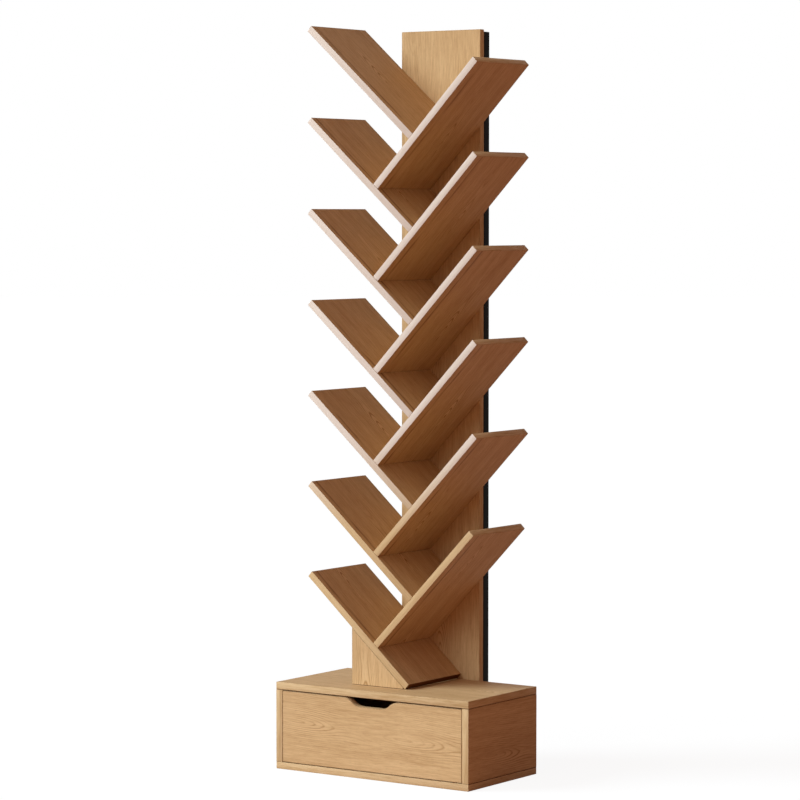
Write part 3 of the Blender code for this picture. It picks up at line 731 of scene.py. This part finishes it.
for side, way, sheet in (("left", -1, 50), ("right", 1, 51)):
    box_board(
        "drawer_box_" + side, "drawer_%s_side" % side, BACKWARD, UPWARD,
        box_side_grooves(side, way) + head_holes(CORNER_SCREW_PLACES[side], CORNER_SCREW), sheet,
    )

ALL_CORNER_PLACES = CORNER_SCREW_PLACES["left"] + CORNER_SCREW_PLACES["right"]
box_board(
    "drawer_box_front", "drawer_inner_front", RIGHTWARD, UPWARD,
    shank_holes(ALL_CORNER_PLACES, CORNER_SCREW) + shank_holes(FRONT_SCREW_PLACES, FRONT_SCREW) + [
        sheet_groove(
            (INNER_FRONT_BOX[0].x - DRILL_OVERRUN, SHEET_BOX[0].y - SHEET_CLEARANCE),
            (INNER_FRONT_BOX[1].x + DRILL_OVERRUN, INNER_FRONT_BOX[1].y + DRILL_OVERRUN),
        ),
    ],
    sheet=52,
)
box_board(
    "drawer_box_back", "drawer_back", RIGHTWARD, UPWARD,
    shank_holes(ALL_CORNER_PLACES, CORNER_SCREW) + shank_holes(BOTTOM_SCREW_PLACES, BOTTOM_SCREW),
    sheet=53,
)
box_board(
    "drawer_box_bottom", "drawer_bottom", RIGHTWARD, BACKWARD,
    shank_holes(BOTTOM_SCREW_PLACES, BOTTOM_SCREW), sheet=54,
)


# Drawer front
# One oak panel set in flush, with the same bands and an even gap all round. A finger cut-out with
# softly rounded ends is sawn into its top edge and banded too.

CUTOUT_WIDTH = 0.143
CUTOUT_DEPTH = 0.0175
CUTOUT_END_RUN = 0.046
CUTOUT_ARC_STEPS = 10


def soft_fall(run, drop):
    """Points of an S-shaped fall, level at both ends, made of two like arcs."""
    radius = (run * run + drop * drop) / (4 * drop)
    sweep = 2 * math.atan2(drop, run)
    upper = []
    for step in range(CUTOUT_ARC_STEPS + 1):
        angle = step / CUTOUT_ARC_STEPS * sweep
        upper.append((radius * math.sin(angle), -radius * (1 - math.cos(angle))))
    lower = [(run - x, -drop - z) for x, z in reversed(upper[:-1])]
    return upper + lower


def drawer_front_panel():
    low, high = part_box("drawer_front")
    fall = soft_fall(CUTOUT_END_RUN, CUTOUT_DEPTH)
    half_cutout = CUTOUT_WIDTH / 2
    right_end = [(half_cutout - x, high.z + z) for x, z in fall]
    left_end = [(x - half_cutout, high.z + z) for x, z in reversed(fall)]
    outline = [(low.x, low.z), (high.x, low.z), (high.x, high.z)]
    outline += right_end + left_end + [(low.x, high.z)]
    place = axes_place(Vector((0, high.y, 0)), RIGHTWARD, UPWARD)
    return banded_panel(
        "drawer_front_panel", outline, high.y - low.y, place, arris=SIDE_ARRIS_RADIUS,
    )


drawer_front = drawer_front_panel()
drill(drawer_front, shank_holes(FRONT_SCREW_PLACES, FRONT_SCREW))
# Painted shade: the front face's upper and lower arrises, round the cut-out too, go dark brown in
# the gaps
paint_joint_shade(drawer_front, lambda normal: slopes(-normal.y) and abs(normal.z) > SLIGHTLY)
lay_grain(drawer_front, RIGHTWARD, UPWARD, sheet=8)
put_on(drawer_front, "drawer", "oak_laminate", "drawer_front")


# Slanting boards
# Thirteen oak-laminate boards, glued and dowelled end to face in one zigzag chain. Each lower end
# is cut a little off square, to follow the face that it stands on. The print has one darker vein
# along the front edge, and a painted highlight makes the plastic bands on the fronts paler higher
# up.

BOARD_THICKNESS = 0.015
BOARD_PITCH = 0.196
BOARD_GAP = 0.0003
LEFT_COUNT = 7
RIGHT_COUNT = 6
LEFT_SHEETS = 10
RIGHT_SHEETS = 20
LEFT_TILT = math.radians(41.5)
RIGHT_TILT = math.radians(46.0)
LEFT_REACH = 0.2103
RIGHT_REACH = 0.2275
LOWEST_RIGHT_REACH = 0.2196
FOOT_X = 0.0451
RIGHT_FOOT_X = -0.0260
FOOT_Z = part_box("base_top_panel")[1].z + BOARD_GAP
END_SKEW = -BOARD_THICKNESS * math.tan(math.pi / 2 - LEFT_TILT - RIGHT_TILT)
LEFT_RISE = (BOARD_THICKNESS + BOARD_GAP) / math.cos(LEFT_TILT)
RIGHT_RISE = (BOARD_THICKNESS + BOARD_GAP) / math.cos(RIGHT_TILT)
LEFT_FOOT_X = RIGHT_FOOT_X + (BOARD_PITCH - LEFT_RISE - RIGHT_RISE) / (
    math.tan(LEFT_TILT) + math.tan(RIGHT_TILT))


def left_underside(number, x):
    return FOOT_Z + (LEFT_COUNT - number) * BOARD_PITCH + (FOOT_X - x) * math.tan(LEFT_TILT)


# Painted highlight: the front bands turn paler between these heights, standing in for glare
GLARE_PALE_BAND = (0.730, 0.610, 0.520)
GLARE_PALE_BAND_DARK = (0.640, 0.505, 0.405)
GLARE_STARTS_Z = 0.52
GLARE_ENDS_Z = 0.72


def band_with_painted_glare(name):
    """The plastic band on the boards' fronts, with a painted highlight that makes it paler on the
    upper boards.
    """
    material = grained_wood(name, OAK_BAND, OAK_BAND_DARK, streaks=0.40, pores=0.25)
    tree = material.node_tree
    grain = tree.nodes["Group"]
    height = add_node(tree, "SeparateXYZ", Vector=object_place(tree)).outputs["Z"]
    share = add_node(
        tree, "MapRange", Value=height, From_Min=GLARE_STARTS_Z, From_Max=GLARE_ENDS_Z,
    ).outputs["Result"]
    for socket, unglared, pale in (("Light Wood", OAK_BAND, GLARE_PALE_BAND),
                                ("Dark Wood", OAK_BAND_DARK, GLARE_PALE_BAND_DARK)):
        tone = blended(tree, share, (*unglared, 1), (*pale, 1))
        tree.links.new(tone, grain.inputs[socket])
    return material


VEIN_TINT = (0.50, 0.40, 0.32)
VEIN_SPREAD = 0.0050
VEIN_SWAY = 0.007
VEIN_SETBACKS = {-1: 0.015, 1: 0.023}
VEIN_SWAY_NOISE = ((11.0, 11.0, 11.0), 0.0, 1.0)
VEIN_BREAKS_NOISE = ((12.0, 40.0, 40.0), 0.30, 0.60)


def veined_laminate(name, vein_y):
    """The boards' oak print, with one darker vein that keeps close to their front edge."""
    material = grained_wood(name, OAK_FACE, OAK_FACE_DARK, **OAK_PRINT)
    tree = material.node_tree
    grain = tree.nodes["Group"]
    sheet_place = tree.nodes["Attribute"].outputs["Vector"]
    depth = add_node(tree, "SeparateXYZ", Vector=object_place(tree)).outputs["Y"]
    sway = stretched_noise(tree, sheet_place, *VEIN_SWAY_NOISE)
    aside = arithmetic(tree, "MULTIPLY_ADD", sway, VEIN_SWAY, depth)
    aside = arithmetic(tree, "SUBTRACT", aside, vein_y + VEIN_SWAY / 2)
    aside = arithmetic(tree, "ABSOLUTE", aside)
    vein = add_node(tree, "MapRange", Value=aside, From_Max=VEIN_SPREAD, To_Min=1.0, To_Max=0.0)
    drawn = stretched_noise(tree, sheet_place, *VEIN_BREAKS_NOISE)
    share = arithmetic(tree, "MULTIPLY", vein.outputs["Result"], drawn)
    tone = blended(tree, share, grain.outputs["Color"], (*VEIN_TINT, 1), "MULTIPLY")
    tree.links.new(tone, tree.nodes["Principled BSDF"].inputs["Base Color"])
    return material


# The front bands carry a painted highlight that pales them higher up
FRONT_BAND = band_with_painted_glare("front band")
BOARD_FRONT_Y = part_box("left_board_1")[0].y
BOARD_FINISHES = {}
for side, name in ((-1, "left board laminate"), (1, "right board laminate")):
    laminate = veined_laminate(name, BOARD_FRONT_Y + VEIN_SETBACKS[side])
    BOARD_FINISHES[side] = (laminate, *OAK_FINISHES[1:], FRONT_BAND)
FRONT_BAND_SLOT = len(OAK_FINISHES)


def slanting_board(node, side, tilt, foot_x, foot_z, reach, skew, sheet):
    """A board from the lower corner of its foot up to its square-cut tip."""
    low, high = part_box(node)
    along = Vector((side * math.cos(tilt), 0, math.sin(tilt)))
    across = BACKWARD * side
    length = (reach - side * foot_x) / math.cos(tilt)
    width = high.y - low.y
    origin = Vector((foot_x, low.y if side > 0 else high.y, foot_z))
    board = banded_panel(
        node + "_laminated", rectangle(0, 0, length, width), BOARD_THICKNESS,
        axes_place(origin, along, across), skew, BOARD_FINISHES[side],
    )
    for polygon in board.data.polygons:
        if polygon.normal.y < -MOSTLY and polygon.material_index == BAND_SLOT:
            polygon.material_index = FRONT_BAND_SLOT
    # Painted shade: the square foot end of the lowest left board goes dark brown, for the shade
    # under its overhang
    paint_joint_shade(board, lambda normal: skew == 0 and normal.dot(along) < -MOSTLY)
    lay_grain(board, along, across, sheet)
    put_on(board, "rack", "oak_laminate", node)


for number in range(1, LEFT_COUNT + 1):
    node = "left_board_%d" % number
    last = number == LEFT_COUNT
    foot_x = FOOT_X if last else LEFT_FOOT_X
    foot_z = left_underside(number, foot_x)
    skew = 0.0 if last else END_SKEW
    slanting_board(node, -1, LEFT_TILT, foot_x, foot_z, LEFT_REACH, skew, LEFT_SHEETS + number)

for number in range(1, RIGHT_COUNT + 1):
    node = "right_board_%d" % number
    foot_z = left_underside(number + 1, RIGHT_FOOT_X) + LEFT_RISE
    reach = LOWEST_RIGHT_REACH if number == RIGHT_COUNT else RIGHT_REACH
    sheet = RIGHT_SHEETS + number
    slanting_board(node, 1, RIGHT_TILT, RIGHT_FOOT_X, foot_z, reach, END_SKEW, sheet)


# Gusset
# A three-cornered panel under the lowest left board, flush with the boards' front edges and
# dowelled to the cabinet top and to the board. Its thin end is cut to a blunt nose.

GUSSET_X = -0.0935
GUSSET_NOSE = 0.004


def gusset_panel():
    low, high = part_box("support_gusset")
    slit = BOARD_GAP / math.cos(LEFT_TILT)
    nose_x = FOOT_X - (GUSSET_NOSE + slit) / math.tan(LEFT_TILT)
    outline = [
        (GUSSET_X, FOOT_Z), (nose_x, FOOT_Z), (nose_x, FOOT_Z + GUSSET_NOSE),
        (GUSSET_X, left_underside(LEFT_COUNT, GUSSET_X) - slit),
    ]
    place = axes_place(Vector((0, high.y, 0)), RIGHTWARD, UPWARD)
    return banded_panel("gusset_panel", outline, high.y - low.y, place)


gusset = gusset_panel()
# Painted shade: the gusset's downward faces and arrises go dark brown, a contact shadow along its
# foot
paint_joint_shade(gusset, lambda normal: normal.z < -SLIGHTLY)
lay_grain(gusset, UPWARD, RIGHTWARD, sheet=31)
put_on(gusset, "rack", "oak_laminate", "support_gusset")


# Column
# A long upright panel behind the boards, from the floor to the topmost tip. Countersunk screws go
# through it into the back edge of each board and, low down, into the cabinet's back.

HEAD_BACK = Matrix.Rotation(-math.pi / 2, 4, "X")
COLUMN_SCREW_HEAD = 0.004
COLUMN_SCREW_SHANK = 0.002
COLUMN_THROUGH = 0.020
POST_SCREW_SHANK = 0.002
POST_SCREW_BITE = 0.011
COLUMN_BACK_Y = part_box("back_column")[1].y
COLUMN_SCREWS = [
    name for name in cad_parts
    if name.endswith("_screw") or name.startswith("column_screw_")
]
POST_SCREWS = [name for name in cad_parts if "_post_screw_" in name]


def back_screw_place(node, y):
    low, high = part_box(node)
    middle = (low + high) / 2
    return Matrix.Translation((middle.x, y, middle.z)) @ HEAD_BACK


column = box_panel("column_panel", "back_column", UPWARD, RIGHTWARD)
drill(column, [
    hole_cutter(back_screw_place(node, COLUMN_BACK_Y), head, shank, depth)
    for nodes, head, shank, depth in (
        (COLUMN_SCREWS, COLUMN_SCREW_HEAD, COLUMN_SCREW_SHANK, COLUMN_THROUGH),
        (POST_SCREWS, POST_SCREW_SHANK, POST_SCREW_SHANK, POST_SCREW_BITE),
    )
    for node in nodes
])
lay_grain(column, UPWARD, RIGHTWARD, sheet=41)
put_on(column, "rack", "oak_laminate", "back_column")


# Posts
# Two square steel tubes, powder-coated black, stand behind the column and stiffen it. A moulded
# plastic cap closes each top and a plastic foot each bottom. Two screws a post go into the column.

POST_CORNER = 0.0025
POST_CORNER_STEPS = 8
POST_WALL = 0.0012
CAP_FLANGE = 0.002
FOOT_FLANGE = 0.003
PLUG_CLEARANCE = 0.0003
PLUG_ROUNDING = 0.0007
PLUG_HOLLOW_SHARE = 0.8
COAT_BLACK = (0.0050, 0.0042, 0.0035)
COAT_DUSTY = (0.0120, 0.0100, 0.0085)
COAT_SHEEN = 0.05
PLASTIC_BLACK = (0.0090, 0.0088, 0.0085)
PLASTIC_WORN = (0.0190, 0.0182, 0.0175)
PATCH_NOISE = ((9.0, 9.0, 5.0), 0.35, 0.75, 5.0, 0.6)
PATCH_SHARE = 0.6
PEEL_SHARE = 0.25
WORN_ROUGHER = 0.12


def speckled_group():
    """Fine orange-peel grain with faint paler patches, for coats and mouldings."""
    group, given, surface = new_group(
        "speckled surface", Place="Vector", Clean="Color", Worn="Color", Grain_Size="Float",
        Roughness="Float",
    )
    peel = add_node(
        group, "TexNoise", Vector=given["Place"], Scale=given["Grain Size"], Detail=2.0,
    ).outputs["Fac"]
    patches = stretched_noise(group, given["Place"], *PATCH_NOISE)
    share = arithmetic(group, "MULTIPLY", patches, PATCH_SHARE)
    share = arithmetic(group, "MULTIPLY_ADD", peel, PEEL_SHARE, share)
    tone = blended(group, share, given["Clean"], given["Worn"])
    rough = arithmetic(group, "MULTIPLY_ADD", share, WORN_ROUGHER, given["Roughness"])
    for result, socket in zip((tone, rough, peel), surface):
        group.links.new(result, socket)
    return group


SPECKLED = speckled_group()


def speckled_material(name, clean, worn, grain_size, roughness, **finish):
    material, tree, shader = start_material(name, **finish)
    surface = add_node(
        tree, "Group", node_tree=SPECKLED, Place=object_place(tree), Clean=(*clean, 1),
        Worn=(*worn, 1), Grain_Size=grain_size, Roughness=roughness,
    )
    wire_surface(tree, shader, *surface.outputs, strength=0.25, distance=0.00008)
    return material


BLACK_COAT = speckled_material(
    "black powder coat", COAT_BLACK, COAT_DUSTY, 1500.0, 0.60, Specular_IOR_Level=COAT_SHEEN,
)
BLACK_MOULDING = speckled_material(
    "black moulding", PLASTIC_BLACK, PLASTIC_WORN, 3500.0, 0.55, Specular_IOR_Level=SOFT_SHEEN,
)


def rounded_square(bm, size, corner):
    bmesh.ops.create_grid(bm, x_segments=1, y_segments=1, size=size / 2)
    bmesh.ops.bevel(
        bm, geom=bm.verts[:], offset=corner, segments=POST_CORNER_STEPS, affect="VERTICES",
        profile=0.5, material=-1,
    )


def steel_post(name, node):
    low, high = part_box(node)
    bm = bmesh.new()
    rounded_square(bm, high.x - low.x, POST_CORNER)
    push_out(bm, bm.faces[:], high.z - low.z)
    face_outwards(bm)
    ends = [face for face in bm.faces if abs(face.normal.z) > FLAT]
    bmesh.ops.inset_individual(bm, faces=ends, thickness=POST_WALL, use_even_offset=True)
    bmesh.ops.delete(bm, geom=ends, context="FACES_ONLY")
    rims = [edge for edge in bm.edges if edge.is_boundary]
    bmesh.ops.bridge_loops(bm, edges=rims)
    face_outwards(bm)
    middle = (low + high) / 2
    place = Matrix.Translation((middle.x, middle.y, low.z))
    return add_piece(name, bm, (BLACK_COAT,), place)


def post_plug(name, node, flange, at_top):
    """A flange that covers the tube's end, and a hollow stub that grips inside it."""
    low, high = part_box(node)
    stub = high.z - low.z - flange
    bm = bmesh.new()
    rounded_square(bm, high.x - low.x, POST_CORNER)
    _, cap = push_out(bm, bm.faces[:], flange)
    face_outwards(bm)
    round_edges(bm, [edge for face in cap for edge in face.edges], PLUG_ROUNDING, steps=3)
    under = [face for face in bm.faces if face.normal.z < -FLAT]
    lip = POST_WALL + PLUG_CLEARANCE
    bmesh.ops.inset_individual(bm, faces=under, thickness=lip, use_even_offset=True)
    _, end = push_out(bm, under, -stub)
    face_outwards(bm)
    round_edges(bm, [edge for face in end for edge in face.edges], PLUG_ROUNDING, steps=2)
    level = [face for face in bm.faces if face.normal.z < -FLAT]
    mouth = [face for face in level if face.calc_center_median().z < 0]
    bmesh.ops.inset_individual(bm, faces=mouth, thickness=POST_WALL, use_even_offset=True)
    push_out(bm, mouth, stub * PLUG_HOLLOW_SHARE)
    face_outwards(bm)
    middle = (low + high) / 2
    if at_top:
        place = Matrix.Translation((middle.x, middle.y, high.z - flange))
    else:
        place = Matrix.Translation((middle.x, middle.y, low.z + flange)) @ HEAD_DOWN
    return add_piece(name, bm, (BLACK_MOULDING,), place)


POST_BACK_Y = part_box("left_post")[1].y
POST_DEPTH = POST_BACK_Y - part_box("left_post")[0].y
PLUGS = (("_top_plug", "_cap", CAP_FLANGE, True), ("_foot_plug", "_foot", FOOT_FLANGE, False))

for side in ("left", "right"):
    node = side + "_post"
    post = steel_post(side + "_steel_post", node)
    screws = [screw for screw in POST_SCREWS if screw.startswith(node)]
    places = [back_screw_place(screw, POST_BACK_Y) for screw in screws]
    drill(post, shank_holes(places, (0, 0, POST_SCREW_SHANK, POST_DEPTH + DRILL_OVERRUN)))
    give_one_finish(post, BLACK_COAT)
    put_on(post, "rack", "black_steel", node)
    for name, end, flange, at_top in PLUGS:
        plug = post_plug(side + name, node + end, flange, at_top)
        put_on(plug, "rack", "black_plastic", node + end)


# Screws and dowels
# Zinc-plated steel screws with a cross recess. Countersunk ones sit in the column, the cabinet's
# bottom, the runners and the drawer's sides. Pan heads lie on the posts, the drawer's inner front
# and its bottom. Two beech dowels hold the gusset, unseen.

SCREW_SIDES = 24
RECESS_RING = 0.55
RECESS_ARM = 0.60
RECESS_SLOT = 0.17
RECESS_DEPTH = 0.45
RECESS_TAPER = 0.6
HEAD_RIM = 0.0002
SCREW_POINT = 0.006
PAN_SCREW_HEAD = 0.004
PAN_PROFILE = ((0.80, 0.90), (0.95, 0.62), (1.0, 0.25), (1.0, 0.0))
COLUMN_SCREW_TURN = 0.7
POST_SCREW_TURN = 0.9
BASE_SCREW_TURN = 1.1
HIDDEN_SCREW_TURN = 1.3
ZINC_BRIGHT = (0.640, 0.630, 0.600)
ZINC_DULL = (0.400, 0.390, 0.360)
ZINC_PLATE = speckled_material("zinc plate", ZINC_BRIGHT, ZINC_DULL, 2500.0, 0.26, Metallic=1.0)
GRAIN_UPWARDS = (0, math.pi / 2, 0)
DOWEL_WOOD = grained_wood(
    "dowel", BEECH_LIGHT, BEECH_DARK, streaks=0.3, pores=0.5, turn=GRAIN_UPWARDS,
)


def cut_cross_recess(bm, head_radius):
    """Turns the open ring on top of the head into a cross-shaped pit."""
    arm = head_radius * RECESS_ARM
    slot = head_radius * RECESS_SLOT
    halfway = (arm + slot) / 2
    quarter = [(arm, 0), (arm, slot), (halfway, slot), (slot, slot), (slot, halfway), (slot, arm)]
    rim = [edge for edge in bm.edges if edge.is_boundary]
    for corner in {corner for edge in rim for corner in edge.verts}:
        step = round(math.atan2(corner.co.y, corner.co.x) / math.tau * SCREW_SIDES) % SCREW_SIDES
        turn, part = divmod(step, len(quarter))
        spot = Vector((*quarter[part], corner.co.z))
        corner.co = Matrix.Rotation(turn * math.pi / 2, 3, "Z") @ spot
    walls = bmesh.ops.extrude_edge_only(bm, edges=rim)["geom"]
    floor = [part for part in walls if isinstance(part, bmesh.types.BMVert)]
    bmesh.ops.scale(bm, verts=floor, vec=(RECESS_TAPER, RECESS_TAPER, 1))
    bmesh.ops.translate(bm, verts=floor, vec=(0, 0, -head_radius * RECESS_DEPTH))
    bmesh.ops.edgeloop_fill(bm, edges=[edge for edge in bm.edges if edge.is_boundary])
    face_outwards(bm)


def screw(name, place, kind, turn):
    """A cross-recessed screw whose head opens at its place and whose shank runs down local Z."""
    head_radius, head_height, shank_radius, length = kind
    ring = head_radius * RECESS_RING
    if head_height:
        head = [(ring, head_height)]
        head += [(head_radius * out, head_height * up) for out, up in PAN_PROFILE]
        head += [(shank_radius, 0)]
    else:
        head = [
            (ring, 0), (head_radius, 0), (head_radius, -HEAD_RIM),
            (shank_radius, shank_radius - head_radius - HEAD_RIM),
        ]
    bm = bmesh.new()
    turned(bm, head + [(shank_radius, SCREW_POINT - length), (0, -length)], SCREW_SIDES)
    cut_cross_recess(bm, head_radius)
    return add_piece(name, bm, (ZINC_PLATE,), place @ Matrix.Rotation(turn, 4, "Z"))


def add_screw(node, place, kind, turn):
    put_on(screw(node + "_crosshead", place, kind, turn), "rack", "zinc_steel", node)


for number, node in enumerate(COLUMN_SCREWS):
    low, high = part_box(node)
    kind = (COLUMN_SCREW_HEAD, 0, COLUMN_SCREW_SHANK, high.y - low.y)
    add_screw(node, back_screw_place(node, high.y), kind, COLUMN_SCREW_TURN * number)

for number, node in enumerate(POST_SCREWS):
    low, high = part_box(node)
    kind = (PAN_SCREW_HEAD, high.y - POST_BACK_Y, POST_SCREW_SHANK, POST_BACK_Y - low.y)
    add_screw(node, back_screw_place(node, POST_BACK_Y), kind, POST_SCREW_TURN * number)

for number, node in enumerate(BASE_SCREWS):
    low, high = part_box(node)
    kind = (BASE_SCREW_HEAD, 0, BASE_SCREW_SHANK, high.z - low.z)
    add_screw(node, base_screw_place(node, low.z), kind, BASE_SCREW_TURN * number)

HIDDEN_SCREWS = (
    ("left_runner_screw", "rack", runner_screw_places("left"), RUNNER_SCREW),
    ("right_runner_screw", "rack", runner_screw_places("right"), RUNNER_SCREW),
    ("left_corner_screw", "drawer", CORNER_SCREW_PLACES["left"], CORNER_SCREW),
    ("right_corner_screw", "drawer", CORNER_SCREW_PLACES["right"], CORNER_SCREW),
    ("drawer_front_screw", "drawer", FRONT_SCREW_PLACES, FRONT_SCREW),
    ("drawer_bottom_screw", "drawer", BOTTOM_SCREW_PLACES, BOTTOM_SCREW),
)

for name, body, places, kind in HIDDEN_SCREWS:
    for number, place in enumerate(places, start=1):
        piece = screw("%s_%d" % (name, number), place, kind, HIDDEN_SCREW_TURN * number)
        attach(piece, body)

for node in ("gusset_foot_dowel", "gusset_top_dowel"):
    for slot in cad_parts[node].material_slots:
        slot.material = DOWEL_WOOD


# Floor, light and camera
# A pale studio floor that only keeps a soft shadow, a large soft light from the left in front and
# a weaker one low in front, and a weak light all round, brightest from the front.

FLOOR_REACH = 40.0
FLOOR_WHITE_SHARE = 0.88
FLOOR_GLOW = 1.04
WHITE = (1, 1, 1, 1)
FLOOR_BOUNCE = (0.430, 0.195, 0.112, 1)
FILL_FROM_ABOVE = (0.240, 0.140, 0.105, 1)
FILL_FROM_SIDES = (0.145, 0.068, 0.048, 1)
FILL_FROM_FRONT = (0.460, 0.270, 0.190, 1)
FILL_FROM_SIDES_ENDS = 0.7
LIGHTS = (
    ("key", (-0.64, -0.55, 0.54), 3.05, math.radians(28)),
    ("front_light", (-0.20, -0.95, 0.22), 1.00, math.radians(32)),
)
LIGHT_COLOUR = (0.84, 1.03, 1.13)
CAMERA_PLACE = (3.9409, -5.6598, 1.1978)
CAMERA_DIP = 3.2879
CAMERA_TURN = 34.9526
CAMERA_LENS = 145.1195
CAMERA_SENSOR = 36.0


def seen_directly(tree):
    """One for rays from the camera or from gloss or glass, zero for light that falls on things."""
    path = add_node(tree, "LightPath").outputs
    seen = arithmetic(tree, "MAXIMUM", path["Is Camera Ray"], path["Is Glossy Ray"])
    return arithmetic(tree, "MAXIMUM", seen, path["Is Transmission Ray"])


def pale_floor():
    bm = bmesh.new()
    bmesh.ops.create_circle(bm, cap_ends=True, segments=64, radius=FLOOR_REACH)
    material = bpy.data.materials.new("pale floor")
    material.use_nodes = True
    tree = material.node_tree
    tree.nodes.clear()
    seen = seen_directly(tree)
    matt = add_node(tree, "BsdfDiffuse", Color=blended(tree, seen, FLOOR_BOUNCE, WHITE))
    glow = add_node(tree, "Emission", Color=WHITE, Strength=FLOOR_GLOW)
    mixed = add_node(tree, "MixShader", Fac=arithmetic(tree, "MULTIPLY", seen, FLOOR_WHITE_SHARE))
    tree.links.new(matt.outputs["BSDF"], mixed.inputs[1])
    tree.links.new(glow.outputs["Emission"], mixed.inputs[2])
    add_node(tree, "OutputMaterial", Surface=mixed.outputs["Shader"])
    return add_piece("studio_floor", bm, (material,))


pale_floor()

world = bpy.data.worlds.new("studio")
world.use_nodes = True
bpy.context.scene.world = world
sky = world.node_tree
background = sky.nodes["Background"]
background.inputs["Strength"].default_value = 1.0
way = add_node(sky, "TexCoord").outputs["Generated"]
way = add_node(sky, "SeparateXYZ", Vector=way).outputs
height = add_node(sky, "MapRange", Value=way["Z"], From_Min=0.0, From_Max=FILL_FROM_SIDES_ENDS)
fill = blended(sky, height.outputs["Result"], FILL_FROM_SIDES, FILL_FROM_ABOVE)
ahead = add_node(sky, "MapRange", Value=way["Y"], From_Min=0.0, From_Max=-1.0)
fill = blended(sky, ahead.outputs["Result"], fill, FILL_FROM_FRONT)
sky.links.new(blended(sky, seen_directly(sky), fill, WHITE), background.inputs["Color"])

for name, direction, strength, softness in LIGHTS:
    lamp = bpy.data.lights.new(name, "SUN")
    lamp.energy = strength
    lamp.color = LIGHT_COLOUR
    lamp.angle = softness
    lamp_stand = bpy.data.objects.new(name, lamp)
    lamp_stand.rotation_euler = Vector(direction).to_track_quat("Z", "Y").to_euler()
    bpy.context.scene.collection.objects.link(lamp_stand)

camera = bpy.data.cameras.new("camera")
camera.sensor_width = CAMERA_SENSOR
camera.lens = CAMERA_LENS
camera_stand = bpy.data.objects.new("camera", camera)
camera_stand.location = CAMERA_PLACE
camera_stand.rotation_euler = (math.radians(90 - CAMERA_DIP), 0, math.radians(CAMERA_TURN))
bpy.context.scene.collection.objects.link(camera_stand)
bpy.context.scene.camera = camera_stand
bpy.context.scene.view_settings.view_transform = "Standard"
